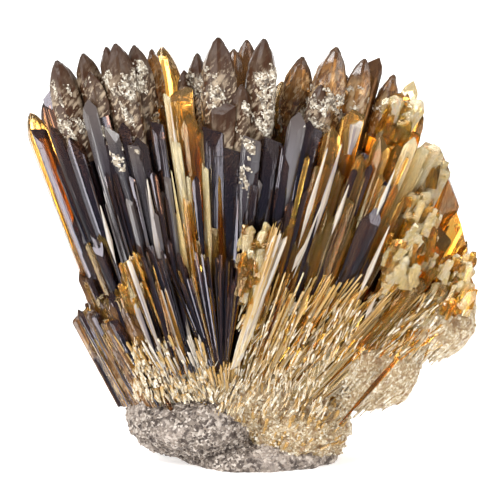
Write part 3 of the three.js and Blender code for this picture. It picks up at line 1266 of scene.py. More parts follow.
# The long blades that show below the caps, left to right.
BLADES = (
    Crystal((-38.6, 66.2, -8), (-19.2, 12, -4), 3.6, S, CHISEL, 24, 0.8, 0.3),
    Crystal((-35.0, 64.0, -10), (-18.2, 12, -6), 4.2, S, CHISEL, 32, 0.8, 0.0),
    # L blades: grey painted on as a reflection of the studio's light on their flat faces.
    Crystal((-31.8, 71.0, -12.4), (-17.6, 16, -7), 3.8, L, CHISEL, 4, 0.7, 0.2),
    Crystal((-29.6, 66.0, -11), (-16.4, 14, -7), 2.6, S, CHISEL, 50, 0.8, 0.9),
    Crystal((-28.4, 64.0, -11.6), (-15.0, 12, -7), 4.4, S, CHISEL, 28, 0.7, 0.0),
    # W thorns and blades: grey to white painted on as a reflection of the studio's light on their flat
    # faces.
    Crystal((-29.4, 50.4, -13.6), (-26.4, 39, -12), 1.3, W, THORN, 14, 0.5, 0.6),
    Crystal((-27.6, 66.0, -13.0), (-20.4, 40, -10.6), 3.6, L, CHISEL, 12, 0.6, 0.0),
    Crystal((-25.0, 66.6, -12), (-14.2, 12, -7), 3.6, S, CHISEL, 2, 0.8, 0.0),
    Crystal((-23.0, 62.4, -13.4), (-17.0, 34, -10.6), 2.4, L, CHISEL, 4, 0.6, 0.1),
    Crystal((-22.4, 63.6, -12.8), (-13.4, 12, -7), 4.6, S, CHISEL, 34, 0.7, 0.0),
    Crystal((-20.2, 55.6, -14.2), (-17.0, 35, -12.4), 1.6, W, THORN, 14, 0.5, 0.2),
    Crystal((-18.4, 67.0, -12), (-11.2, 12, -7), 3.0, S, CHISEL, 4, 0.8, 0.2),
    Crystal((-13.6, 73.4, -11.6), (-8.2, 12, -7), 5.8, H, BROKEN, 10, 0.8, 0.9),
    Crystal((-12.2, 68.4, -13.6), (-8.0, 30, -9), 3.8, H, CHISEL, 25, 0.8, 0.0),
    Crystal((-16.4, 72.4, -12.6), (-9.8, 24, -9), 1.8, P, CHISEL, 0, 0.8, 0.6),
    Crystal((-15.6, 70.0, -14.2), (-12.0, 44, -12.4), 1.0, W, THORN, 12, 0.5, 0.9),
    Crystal((-14.6, 63.0, -13.6), (-9.4, 24, -10), 1.8, P, CHISEL, 14, 0.8, 1.0),
    Crystal((-10.2, 66.0, -13), (-7.4, 14, -8), 3.0, H, CHISEL, 0, 0.8, 0.7),
    Crystal((-7.4, 66.0, -13), (-6.6, 14, -8), 4.8, S, CHISEL, 4, 0.8, 0.0),
    Crystal((-5.4, 70.6, -13.2), (-5.4, 50, -11), 5.6, B, BROKEN, 4, 0.5, 0.1),
    Crystal((0.4, 64.0, -14), (-1.6, 44, -12), 4.0, L, CHISEL, 10, 0.5, 0.3),
    Crystal((-3.8, 62.0, -12.6), (-5.2, 14, -7), 5.0, S, CHISEL, 32, 0.7, 0.0),
    Crystal((0.4, 60.0, -13), (-3.6, 14, -8), 4.2, S, CHISEL, 8, 0.8, 0.0),
    Crystal((4.2, 64.0, -12), (-2.4, 14, -7), 5.0, S, CHISEL, 34, 0.8, 0.0),
    Crystal((9.6, 68.6, -13.6), (3.4, 32, -10), 3.8, L, TOOTH, 6, 0.6, 0.7),
    Crystal((11.6, 67.0, -13.2), (5.4, 32, -10), 2.6, S, TOOTH, 20, 0.7, 0.0),
    Crystal((7.6, 62.0, -12.4), (0.4, 14, -8), 4.0, S, CHISEL, 20, 0.8, 0.0),
    Crystal((12.8, 66.0, -12.4), (1.8, 14, -8), 3.8, S, CHISEL, 34, 0.8, 0.2),
    Crystal((15.2, 61.6, -15.2), (9.4, 42, -14), 1.3, W, THORN, 12, 0.5, 1.0),
    Crystal((18.0, 62.4, -15.2), (12.4, 44, -14), 1.5, W, THORN, 12, 0.5, 0.1),
    Crystal((19.4, 54.4, -15.4), (16.0, 44.6, -14.6), 1.3, W, THORN, 12, 0.5, 1.0),
    Crystal((14.0, 50.6, -15.4), (8.4, 36, -14), 0.9, W, THORN, 12, 0.5, 0.6),
    Crystal((11.8, 44.4, -15.8), (8.2, 37.4, -15), 1.5, W, THORN, 12, 0.5, 0.9),
    Crystal((28.4, 57.4, -15), (24.4, 47.4, -14), 1.1, W, THORN, 12, 0.5, 0.8),
    Crystal((27.4, 46.4, -15.6), (21.0, 31.6, -14), 1.4, W, THORN, 12, 0.5, 1.0),
    Crystal((24.8, 32.4, -15), (22.6, 28, -14), 1.2, W, THORN, 12, 0.5, 0.8),
    Crystal((21.2, 67.0, -13.6), (19.4, 60.4, -12.8), 2.6, W, BROKEN, 10, 0.8, 0.0),
    Crystal((20.6, 69.0, -12.4), (8.2, 14, -7), 4.4, H, BROKEN, 10, 0.8, 0.3),
    Crystal((16.8, 66.0, -13), (5.0, 14, -8), 4.4, H, CHISEL, 24, 0.8, 0.1),
    Crystal((22.4, 60.0, -13.4), (8.2, 14, -8), 4.4, H, CHISEL, 30, 0.8, 0.2),
    Crystal((19.6, 52.0, -14), (8.6, 18, -9), 2.6, H, CHISEL, 5, 0.8, 0.0),
    Crystal((26.6, 64.0, -12.6), (10.8, 14, -8), 4.6, H, CHISEL, 10, 0.8, 0.7),
    Crystal((24.6, 50.0, -14), (11.4, 16, -9), 4.2, S, CHISEL, 34, 0.8, 0.8),
    Crystal((30.6, 62.0, -10), (13.2, 14, -7), 4.6, H, CHISEL, 15, 0.8, 0.8),
    Crystal((32.2, 63.8, -11.4), (21.4, 36, -11), 2.8, P, CHISEL, 20, 0.8, 0.6),
    Crystal((34.4, 62.0, -10.4), (22.0, 36, -10), 2.4, P, CHISEL, 45, 0.8, 0.2),
    Crystal((36.6, 62.4, -8), (22.4, 34, -8), 3.0, P, BROKEN, 0, 0.8, 0.6),
    Crystal((35.0, 54.0, -9), (18.6, 16, -7), 4.8, H, CHISEL, 0, 0.8, 0.7),
    Crystal((38.6, 46.0, -7), (20.6, 16, -6), 5.2, H, CHISEL, 0, 0.8, 0.8),
)

# The wide dog-teeth of the right-hand side.
SIDE_CRYSTALS = (
    Crystal((40.2, 59.6, 0), (26, 18, 2), 9.0, H, SHOULDER, 0, 0.9, 0.6),
    Crystal((37.0, 62.4, 5), (24, 20, 4), 9.0, H, TOOTH, 40, 0.9, 0.5),
    Crystal((42.8, 49.6, -2), (27, 18, 0), 8.0, H, SHOULDER, 8, 0.9, 0.7),
    Crystal((44.6, 42.0, -4), (28, 18, -2), 6.4, H, SHOULDER, -6, 0.9, 0.9),
    Crystal((45.0, 37.2, 0), (30, 20, 0), 6.4, H, SHOULDER, 30, 0.9, 0.9),
)

FAN_BUNDLES = (
    # The ragged striated flank on the left.
    Bundle(
        tips=((-35.0, 38.0, 1), (-25.0, 33.0, -13)),
        feet=((-22.6, 9, 0), (-15.4, 10, -12)),
        count=120,
        width=(1.0, 2.8),
        tones=(A, A, H, S),
        habits=(CHISEL, CHISEL, BROKEN),
        reach=(0.5, 1.0),
        shade=(0.0, 0.6),
        bow=2.0,
        scatter=0.8,
    ),
    Bundle(
        tips=((-35.8, 31.0, 2), (-28.0, 29.0, -12)),
        feet=((-26.0, 10.4, 1), (-18.0, 10.6, -12)),
        count=90,
        width=(0.8, 2.2),
        tones=(A, A, H, S),
        habits=(CHISEL, BROKEN),
        reach=(0.5, 1.0),
        shade=(0.0, 0.6),
        scatter=0.5,
    ),
    # Dark wine-coloured crystals above that flank.
    Bundle(
        tips=((-36.4, 50.0, 0), (-31.0, 48.0, -10)),
        feet=((-20.6, 12, 0), (-17.0, 12, -6)),
        count=16,
        width=(2.2, 4.0),
        tones=(S, S, H),
        habits=(CHISEL, TOOTH),
        reach=(0.8, 1.0),
        shade=(0.0, 0.5),
        scatter=0.8,
    ),
    # Dark needles that run together above the rock.
    Bundle(
        tips=((-17.0, 40.0, -13.4), (-1.0, 38.0, -14.6)),
        feet=((-7.4, 17.6, -13.6), (-4.6, 17.2, -13.8)),
        count=90,
        width=(0.3, 1.1),
        tones=(S, S, S, H),
        habits=(NEEDLE, NEEDLE, CHISEL),
        reach=(0.7, 1.1),
        shade=(0.0, 0.5),
    ),
    # Dark slender blades that run down over the root on the left.
    Bundle(
        tips=((-27.0, 42.0, -13.6), (-17.0, 44.0, -14.2)),
        feet=((-17.4, 16, -13.2), (-10.6, 17.6, -13.8)),
        count=34,
        width=(0.5, 1.6),
        tones=(S, S, H, W),
        habits=(CHISEL, THORN),
        reach=(0.6, 1.0),
        shade=(0.0, 0.4),
        scatter=1.6,
    ),
    # Slender blades among the wide dark ones.
    Bundle(
        tips=((-33.0, 58.0, -12), (-17.0, 60.0, -13.6)),
        feet=((-18.6, 14, -7), (-11, 14, -9)),
        count=26,
        width=(1.0, 2.4),
        tones=(S, S, L),
        habits=(CHISEL, THORN),
        reach=(0.6, 1.0),
        shade=(0.0, 0.5),
    ),
    Bundle(
        tips=((-17.0, 58.0, -13.4), (-8.0, 58.0, -14)),
        feet=((-10.0, 18, -10), (-6.4, 18, -10)),
        count=18,
        width=(1.0, 2.0),
        tones=(H, H, P, S),
        habits=(CHISEL, THORN),
        reach=(0.6, 1.05),
    ),
    Bundle(
        tips=((-7.0, 58.0, -13.4), (9.0, 58.0, -13.4)),
        feet=((-5.6, 18, -10), (0.0, 18, -10)),
        count=20,
        width=(1.0, 2.4),
        tones=(S, S, S, H),
        habits=(CHISEL, THORN),
        reach=(0.5, 1.0),
        shade=(0.0, 0.4),
    ),
    # Honey and brown columns of the right.
    Bundle(
        tips=((10.0, 60.0, -13.6), (33.0, 58.0, -11.8)),
        feet=((1.0, 20, -10.4), (16.0, 20, -9.4)),
        count=100,
        width=(0.7, 2.2),
        tones=(H, H, H, H, S),
        habits=(CHISEL, NEEDLE, CHISEL),
        reach=(0.45, 1.05),
        shade=(0.0, 0.9),
    ),
    # Golden rods low on the right.
    Bundle(
        tips=((36.4, 38.6, -10.4), (33.0, 35.0, -12)),
        feet=((25.0, 22, -11), (21.0, 22, -12)),
        count=14,
        width=(1.2, 2.8),
        tones=(H,),
        habits=(CHISEL, BROKEN),
        reach=(0.7, 1.05),
        shade=(0.6, 1.0),
    ),
)

DRUSES = (
    Druse((29.6, 65.8, -7), (3.0, 4.2, 2), (0.4, 1), 30, (1.8, 4.2), (3, 7), (H, H, P), (0.6, 1)),
    Druse((33.6, 46.4, -11), (2.8, 4.8, 1.6), (0.4, 1), 70, (1.0, 2.8), (2, 6), (P, P, H)),
    Druse((29.6, 39.4, -13.4), (2.8, 4.2, 1.2), (0.4, 1), 70, (1.0, 2.8), (2, 6), (P, P, H)),
    Druse((-22.8, 35.0, -14), (2.2, 4.6, 0.8), (-0.3, 1), 34, (1.0, 2.8), (2, 5), (H, H, H, P), (0.5, 1)),
    Druse((1.0, 39, -15), (3.0, 6.6, 0.8), (0.2, 1), 90, (0.8, 2.4), (2, 5), (H, H, H, P), (0.4, 1)),
    Druse((39.2, 34.6, -8), (4.2, 5.2, 3), (0.5, 1), 140, (0.8, 2.4), (2, 5), (H, P, H, P), (0.5, 1)),
    Druse((35.2, 56.4, -6), (1.8, 3.6, 2), (0.35, 1), 12, (2.0, 3.6), (4, 8), (H, H, P)),
)

# Short shards among the fibres.
SHARDS = (NEEDLE, THORN, CHUNK)
SHARD_DRUSES = (
    Druse((10, 26, -14), (12, 6, 1), (0.5, 1), 420, (0.2, 0.6), (1, 4), (G, C, H), (0.4, 1), SHARDS),
    Druse((-15, 18, -13), (8, 6, 1), (-0.4, 1), 700, (0.2, 0.8), (0.8, 2.2), (G, C), (0.6, 1), SHARDS),
    Druse((30, 27, -11), (7, 6, 1), (0.9, 1), 260, (0.2, 0.6), (1, 4), (G, C, H), (0, 1), SHARDS),
    Druse((4, 14, -13.4), (11, 5, 1), (0.4, 1), 300, (0.2, 0.6), (1, 3), (G, C), (0.4, 1), SHARDS),
)

ROOT_BUNDLES = (
    # Cream fibres on the left and in the middle.
    Bundle(
        tips=((-26.0, 26.0, -12.4), (-17.0, 23.0, -13.8)),
        feet=((-16.0, 8, -10), (-9, 9, -10)),
        count=160,
        width=(0.3, 0.8),
        tones=(C, C, W, H),
        reach=(0.2, 1.0),
        shade=(0.5, 1.0),
        scatter=1.8,
        fade=1.4,
    ),
    Bundle(
        tips=((-17.0, 25.6, -13.6), (-9.6, 25.0, -14.4)),
        feet=((-9.0, 9, -10), (-6, 10, -10)),
        count=160,
        width=(0.3, 0.9),
        tones=(W, C, C),
        reach=(0.2, 1.0),
        shade=(0.6, 1.0),
        scatter=1.4,
        fade=1.4,
    ),
    Bundle(
        tips=((-9.6, 19.0, -14.4), (-2.6, 20.0, -14.8)),
        feet=((-6.0, 9, -10), (-4, 10, -10)),
        count=60,
        width=(0.3, 0.9),
        tones=(C, C, W),
        reach=(0.4, 1.0),
    ),
    # The pale ridge beside the dark needles.
    Bundle(
        tips=((5.0, 46.0, -15.8), (6.6, 42.4, -15.8)),
        feet=((-3.8, 18, -14.6), (-2.2, 19, -14.8)),
        count=200,
        width=(0.3, 1.1),
        tones=(W, C, C),
        habits=(THORN, NEEDLE),
        reach=(0.2, 1.05),
        shade=(0.4, 1.0),
        scatter=0.8,
    ),
    # Honey and cream fibres that fan out to the right, longest where they meet the columns.
    Bundle(
        tips=((3.0, 38.0, -14.6), (19.0, 37.0, -14.4)),
        feet=((-4.0, 11, -11), (2.0, 9, -10)),
        count=460,
        width=(0.25, 0.8),
        tones=(C, C, C, P, H),
        reach=(0.15, 1.0),
        scatter=2.4,
        fade=2.0,
    ),
    Bundle(
        tips=((19.0, 37.0, -14), (37.0, 35.0, -10.6)),
        feet=((-1.0, 9, -10), (9.0, 7, -9)),
        count=480,
        width=(0.25, 0.8),
        tones=(C, C, C, P, H),
        reach=(0.15, 1.0),
        scatter=2.4,
        fade=2.0,
    ),
    Bundle(
        tips=((35.0, 33.0, -10), (40.0, 28.0, -6)),
        feet=((6.0, 8, -9), (13.0, 8, -6)),
        count=130,
        width=(0.4, 1.3),
        tones=(C, C, H, P),
        reach=(0.4, 1.0),
        scatter=1.6,
    ),
    # Brown rods that cross the lower right.
    Bundle(
        tips=((30.8, 22.4, -12.6), (29.4, 20.4, -12.6)),
        feet=((18.6, 8, -10.6), (17.6, 7, -10.6)),
        count=7,
        width=(0.5, 1.3),
        tones=(H,),
        habits=(CHISEL,),
        reach=(0.6, 1.0),
        shade=(0.0, 0.1),
        scatter=0.4,
    ),
)


@dataclass
class MouldShelf:
    """All the moulds, modelled once.

    Attributes:
        moulds: the moulds of each habit.
    """

    moulds: dict[Habit, list[Mould]] = field(default_factory=dict)

    UNEVEN = (1.0, 0.9, 1.08, 0.96, 0.88, 1.06)
    FLAT = (1.1, 0.84, 0.86, 1.12, 0.82, 0.9)
    SPEAR = ((0.0, 0.3), (0.5, 0.74), (0.85, 1.0), (1.0, 0.98), (4.0, 0.98))
    COLUMN = ((0.0, 0.42), (1.0, 1.0), (4.0, 1.0))
    BLOCK = ((0.0, 0.86), (1.0, 1.0), (4.0, 1.0))
    ARCH = ((1.3, 0.94), (1.6, 0.8), (1.9, 0.58), (2.12, 0.34), (2.24, 0.1))
    BODY = ((0.0, 0.4), (0.5, 0.8), (1.0, 1.0))
    CAP_BODY = ((0.0, 0.86), (0.3, 0.94), (0.7, 1.0), (1.0, 1.0))

    def build(self) -> None:
        """Model every mould."""
        sharp = (Cut(20, 66, 1.25), Cut(140, 62, 1.15), Cut(262, 68, 1.35), Cut(80, 54, 1.1))
        lopsided = (Cut(0, 70, 1.5), Cut(110, 56, 1.0), Cut(240, 64, 1.3))
        wedge = (Cut(-60, 68, 1.35), Cut(110, 54, 0.95), Cut(10, 48, 0.9))
        slant = (Cut(-100, 74, 1.9), Cut(60, 50, 0.9))
        snapped = (Cut(40, 50, 0.66), Cut(-120, 38, 0.5), Cut(160, 56, 0.8))
        torn = (Cut(-80, 44, 0.56), Cut(70, 52, 0.7), Cut(190, 36, 0.46))
        shoulder = (Cut(0, 50, 0.75), Cut(210, 60, 1.3))
        block = (Cut(15, 30, 0.36), Cut(190, 46, 0.6), Cut(100, 40, 0.5))
        self.moulds = {
            Habit.DOGTOOTH: [
                Mould("mould_sharp", self.UNEVEN, self.COLUMN, sharp, rib=0.04),
                Mould("mould_lopsided", self.FLAT, self.COLUMN, lopsided, rib=0.05),
            ],
            Habit.BULLET: [Mould("mould_bullet", self.UNEVEN, self.BODY + self.ARCH, rib=0.06)],
            Habit.CAP: [
                Mould(
                    "mould_cap", self.UNEVEN, self.CAP_BODY + self.ARCH, rib=0.05, rough=0.07
                ),
                Mould("mould_cap_flat", self.FLAT, self.CAP_BODY + self.ARCH, rib=0.06, rough=0.1),
            ],
            Habit.CHISEL: [
                Mould("mould_wedge", self.FLAT, self.SPEAR, wedge, rib=0.05),
                Mould("mould_slant", self.UNEVEN, self.SPEAR, slant, rib=0.04, panel=0.04),
                Mould("mould_blade", (1.0, 0.92, 1.06, 0.8, 1.02), self.SPEAR, sharp, rib=0.05),
            ],
            Habit.BROKEN: [
                Mould("mould_snapped", self.UNEVEN, self.COLUMN, snapped, rib=0.05),
                Mould("mould_torn", (1.05, 0.9, 1.0, 0.92, 1.1), self.COLUMN, torn, panel=0.05),
            ],
            Habit.SHOULDER: [
                Mould("mould_shoulder", self.UNEVEN, self.COLUMN, shoulder, rib=0.04),
            ],
            Habit.THORN: [
                Mould(
                    "mould_thorn",
                    (1.1, 0.8, 1.1, 0.8),
                    ((0.0, 0.06), (0.4, 1.0), (0.8, 0.5), (1.0, 0.2), (1.3, 0.03)),
                ),
            ],
            Habit.NEEDLE: [
                Mould("mould_needle", (1.1, 0.8, 1.0, 0.9), ((0.0, 0.5), (1.0, 0.7), (2.2, 0.1))),
                Mould("mould_rod", (1.1, 0.8, 1.0, 0.9), ((0.0, 0.5), (1.0, 0.9), (1.3, 0.5))),
            ],
            Habit.CHUNK: [
                Mould("mould_block", (1.0, 0.9, 1.1, 0.95), self.BLOCK, block),
                Mould("mould_chip", (1.1, 0.8, 1.0, 0.9, 1.0), self.BLOCK, torn),
            ],
        }
        for shelf in self.moulds.values():
            for mould in shelf:
                mould.build()

    def clear(self) -> None:
        """Remove the moulds once their copies are made."""
        for shelf in self.moulds.values():
            for mould in shelf:
                bpy.data.objects.remove(mould.piece, do_unlink=True)


@dataclass(frozen=True)
class RearRow:
    """A row of crystals that closes the cluster behind.

    Attributes:
        count: how many crystals it has.
        left: where its first tip lies across.
        right: where its last tip lies.
        crown: how high its middle reaches.
        drop: how far its ends lie lower.
        back: how far back its tips lie.
        foot_back: how far back its feet lie.
        width: the mean width of its crystals.
        bullets: how many of its ends are rounded, from 0 to 1.
    """

    count: int
    left: float
    right: float
    crown: float
    drop: float
    back: float
    foot_back: float
    width: float
    bullets: float = 0.5


@dataclass
class CrystalFan:
    """The clear crystals.

    Attributes:
        stock: where its crystals are kept.
        satellites: how many thin crystals stand against each blade.
        rows: its inner and rear rows.
        foot_share: how far a rear crystal's foot lies across, over its tip.
        wander: how far a rear crystal's end strays up or down.
        honey: the share of honey crystals in the rows at the left and at the right.
        turning: where across the rows turn from smoke to honey.
    """

    stock: Stock
    satellites: int = 1
    rows: tuple[RearRow, ...] = (
        RearRow(13, -36, 34, 66, 6, -6, -3, 6.4, 0.0),
        RearRow(12, -35, 33, 70, 9, 0, 0, 6.8, 0.2),
        RearRow(11, -33, 31, 75, 9, 7, 2, 6.6),
        RearRow(13, -37, 35, 71, 12, 14, 4, 6.8),
        RearRow(12, -34, 33, 50, 7, 17, 6, 6.6),
    )
    foot_share: float = 0.44
    wander: Range = (-3.0, 2.0)
    honey: Range = (0.15, 0.9)
    turning: Range = (2, 24)

    FOOT_UP = 10  # how high the feet of the rows lie

    def build(self) -> None:
        """Grow every crystal of the fan."""
        self.stock.grow(*TOP_CRYSTALS, *BLADES, *SIDE_CRYSTALS)
        for crystal in BLADES:
            if crystal.habit is not Habit.THORN:
                self._grow_satellites(crystal)
        for crowd in (*FAN_BUNDLES, *DRUSES):
            self.stock.grow(*crowd.crystals(self.stock.random))
        for row in self.rows:
            self._grow_row(row)

    def _grow_satellites(self, crystal: Crystal) -> None:
        """Grow thin crystals along a blade, as real ones grow side by side."""
        numbers = self.stock.random
        for _ in range(self.satellites):
            side = numbers.uniform(-0.8, 0.8) * crystal.width
            back = numbers.uniform(-0.2, 0.5) * crystal.width
            tip = between(crystal.foot, crystal.tip, numbers.uniform(0.45, 0.95))
            foot = (crystal.foot[0] + side * 0.4, crystal.foot[1], crystal.foot[2] + back * 0.5)
            satellite = Crystal(
                tip=(tip[0] + side, tip[1], tip[2] + back),
                foot=foot,
                width=crystal.width * numbers.uniform(0.35, 0.65),
                tone=crystal.tone,
                habit=numbers.choice((Habit.CHISEL, Habit.DOGTOOTH)),
                turn=numbers.uniform(0, 60),
                shade=crystal.shade,
            )
            self.stock.grow(satellite)

    def _tone_at(self, across: float) -> Tone:
        """Choose a tone: smoke to the left, honey to the right."""
        left, right = self.turning
        least, most = self.honey
        share = least + (most - least) * min(max((across - left) / (right - left), 0), 1)
        return Tone.HONEY if self.stock.random.random() < share else Tone.SMOKE

    def _grow_row(self, row: RearRow) -> None:
        """Grow a row of crystals along a shallow arch."""
        numbers = self.stock.random
        for i in range(row.count):
            share = (i + numbers.uniform(-0.3, 0.3)) / (row.count - 1)
            across = row.left + (row.right - row.left) * share
            sag = (2 * share - 1) ** 2
            up = row.crown - row.drop * sag + numbers.uniform(*self.wander)
            depth = row.back * (1 - 0.25 * sag) + numbers.uniform(-1.5, 1.5)
            rounded = numbers.random() < row.bullets
            crystal = Crystal(
                tip=(across, up, depth),
                foot=(across * self.foot_share, self.FOOT_UP, row.foot_back),
                width=row.width * numbers.uniform(0.8, 1.25),
                tone=self._tone_at(across),
                habit=Habit.BULLET if rounded else numbers.choice((TOOTH, CHISEL)),
                turn=numbers.uniform(0, 60),
                deep=0.95,
                shade=numbers.uniform(0.05, 0.7),
            )
            self.stock.grow(crystal)

    def dress(self, effects: Effects) -> None:
        """Join the crystals by tone and give each tone its finish.

        Args:
            effects: the shared node groups.
        """
        finishes = {
            Tone.SMOKE: SMOKE_FINISH,
            Tone.HONEY: HONEY_FINISH,
            Tone.PALE: PALE_FINISH,
            Tone.PALE_AND_SHEEN: PALE_AND_SHEEN_FINISH,
            Tone.DARK_AND_SHEEN: DARK_AND_SHEEN_FINISH,
        }
        for tone, finish in finishes.items():
            self.stock.joined(tone, finish, effects, "crystal_fan")


@dataclass(frozen=True)
class CrustPatch:
    """A stretch of the caps and stems that is thick with crust.

    Attributes:
        across: its middle across.
        up: its middle up the picture.
        half_across: how far it reaches across.
        half_up: how far it reaches up.
        amount: how much of it is covered, from 0 to 1.
    """

    across: float
    up: float
    half_across: float
    half_up: float
    amount: float


@dataclass
class Caps:
    """The brown overgrowths on the front crystals' ends, and the white crust on them.

    Attributes:
        stock: where the caps and stems are kept.
        patches: where the crust is thick.
        stem_share: the width of a stem over that of its cap.
        cell: the size of the crust's cells in metres.
        lift: how far the crust stands off the caps.
        thickness: how thick the crust is.
        bumps: the size, the strength and the finer layers of the crust's bumps.
    """

    stock: Stock
    patches: tuple[CrustPatch, ...] = (
        CrustPatch(-37.0, 72.0, 2.6, 4.0, 0.5),
        CrustPatch(-35.2, 65.0, 3.0, 5.0, 0.9),
        CrustPatch(-32.2, 74.4, 2.4, 1.6, 0.9),
        CrustPatch(-25.4, 74.0, 4.0, 4.0, 0.8),
        CrustPatch(-25.0, 65.0, 4.0, 8.0, 0.65),
        CrustPatch(-27.4, 62.4, 2.4, 5.0, 0.55),
        CrustPatch(-22.0, 74.0, 2.6, 5.0, 0.8),
        CrustPatch(-18.0, 66.0, 1.6, 5.0, 0.6),
        CrustPatch(-12.0, 74.0, 2.0, 3.4, 0.5),
        CrustPatch(-7.2, 72.0, 3.6, 6.0, 0.6),
        CrustPatch(-5.0, 65.0, 3.6, 4.0, 0.7),
        CrustPatch(3.2, 74.0, 3.2, 4.4, 0.9),
        CrustPatch(3.4, 66.6, 3.4, 4.6, 1.0),
        CrustPatch(-1.0, 60.0, 2.0, 11.0, 0.6),
        CrustPatch(14.6, 69.0, 4.6, 6.4, 0.5),
        CrustPatch(20.4, 70.0, 3.4, 4.0, 0.4),
        CrustPatch(27.0, 70.0, 3.0, 3.0, 0.4),
    )
    stem_share: float = 0.72
    cell: float = 0.0003
    lift: float = 0.00012
    thickness: float = 0.0003
    bumps: tuple[tuple[float, float, int], ...] = ((0.0018, 0.0006, 3), (0.0005, 0.0004, 2))

    STEM_LAP = 0.4  # how much of a cap its stem reaches into, from the cap's end
    PATCH_SCALE = 480  # the crust's holes in a metre
    FLAKE_SCALE = 1900  # its flakes in a metre
    BARE_LEVEL = 0.42  # the noise above which the crust stays where it is thinnest
    COVER_GAIN = 0.78  # how far that level falls where it is thickest

    def build(self, effects: Effects) -> None:
        """Grow the stems and caps, then spread the crust over them.

        Args:
            effects: the shared node groups.
        """
        skin = []
        for tip, foot, width, length, tone, over in CAPPED:
            whole = (place(tip) - place(foot)).length / MM
            start = between(foot, tip, 1 - length / whole)
            end = between(foot, tip, 1 - self.STEM_LAP * length / whole)
            turn = self.stock.random.uniform(0, 60)
            shade = self.stock.random.uniform(0, 0.3)
            cap = Crystal(tip, start, width, over, Habit.CAP, turn, 0.9, shade)
            stem = Crystal(end, foot, width * self.stem_share, tone, CHISEL, turn, 0.9, shade)
            self.stock.grow(cap, stem)
            skin += [duplicate(self.stock.made[kind][-1], "skin") for kind in (over, tone)]
        skin += [duplicate(blade, "skin") for blade in self.stock.made[Tone.DARK_AND_SHEEN]]
        self._spread_crust(join(skin, "white_crust"), effects)

    def dress(self, effects: Effects) -> None:
        """Join the caps by tone and give each tone its finish."""
        self.stock.joined(Tone.BROWN, CAP_FINISH, effects, "crystal_fan")
        self.stock.joined(Tone.AMBER, AMBER_CAP_FINISH, effects, "crystal_fan")

    def _spread_crust(self, crust: bpy.types.Object, effects: Effects) -> None:
        """Cover the caps with a skin, fill its grooves and leave it in patches.

        Args:
            crust: copies of the caps and stems, joined.
            effects: the shared node groups.
        """
        remesh = crust.modifiers.new("Skin", "REMESH")
        remesh.mode = "VOXEL"
        remesh.voxel_size = self.cell
        smooth = crust.modifiers.new("Fill", "SMOOTH")
        smooth.factor = 0.5
        smooth.iterations = 4
        lift = crust.modifiers.new("Lift", "DISPLACE")
        lift.strength = self.lift
        lift.mid_level = 0
        for size, strength, depth in self.bumps:
            displace(crust, size, strength, depth)
        apply_modifiers(crust)
        with editing(crust):
            pick_faces(crust, lambda centre, normal: not self._is_crusted(centre))
            bpy.ops.mesh.delete(type="FACE")
        thick = crust.modifiers.new("Thick", "SOLIDIFY")
        thick.thickness = self.thickness
        thick.offset = -1
        apply_modifiers(crust)
        dress(crust, CRUST_FINISH, effects, "crystal_fan")

    def _is_crusted(self, point: Vector) -> bool:
        """Say whether the crust covers a point of the caps.

        Args:
            point: a point on the skin, in metres.

        Returns:
            True where the crust stays.
        """
        across, up, _ = spot_of(point)
        covered = 0.0
        for patch in self.patches:
            away = ((across - patch.across) / patch.half_across) ** 2
            away += ((up - patch.up) / patch.half_up) ** 2
            covered = max(covered, patch.amount * (1 - away))
        if covered == 0:
            return False
        grain = Vector((point.x + 0.5 * point.z, point.y, point.z * 0.5))
        level = noise.noise(grain * self.PATCH_SCALE)
        level += 0.5 * noise.noise(grain * self.FLAKE_SCALE)
        return level > self.BARE_LEVEL - self.COVER_GAIN * covered


@dataclass
class Lump:
    """An ellipsoid that goes into a body.

    Attributes:
        centre: its middle, as the front view shows it.
        half: its half axes across, up and back, in millimetres.
    """

    centre: Spot
    half: Spot

    def build(self) -> bpy.types.Object:
        """Model the ellipsoid."""
        bpy.ops.mesh.primitive_ico_sphere_add(subdivisions=4, radius=1, location=(0, 0, 0))
        piece = bpy.context.active_object
        across, up, back = self.half
        piece.scale = (across * MM, back * MM, up * MM)
        piece.location = place(self.centre)
        settle(piece)
        return piece


def fused_body(lumps: Sequence[Lump], name: str, cell: float, smoothing: int) -> bpy.types.Object:
    """Fuse lumps into one closed body with an even mesh.

    Args:
        lumps: the lumps.
        name: the body's name.
        cell: the size of the mesh's cells in metres.
        smoothing: how far the seams between the lumps are filled.

    Returns:
        The body.
    """
    body = join([lump.build() for lump in lumps], name)
    remesh = body.modifiers.new("Fuse", "REMESH")
    remesh.mode = "VOXEL"
    remesh.voxel_size = cell
    smooth = body.modifiers.new("Fill", "SMOOTH")
    smooth.factor = 0.5
    smooth.iterations = smoothing
    apply_modifiers(body)
    return body


def finish_body(body: bpy.types.Object) -> None:
    """Cut a body flat where it rests and smooth its shading."""
    with editing(body):
        bpy.ops.mesh.select_all(action="SELECT")
        bpy.ops.mesh.bisect(
            plane_co=(0, 0, 0), plane_no=(0, 0, 1), use_fill=True, clear_inner=True
        )
    activate(body)
    bpy.ops.object.shade_smooth_by_angle(angle=math.radians(40))


FOCUS_SHARE = (0.42, 0.4)  # how far a fibre's source lies across and back, over its place
FOCUS_HEIGHT = -4 * MM


def focus_of(point: Vector) -> Vector:
    """Return the place under a point from which the fibres there spread, in metres."""
    across, back = FOCUS_SHARE
    return Vector((point.x * across, point.y * back, FOCUS_HEIGHT))


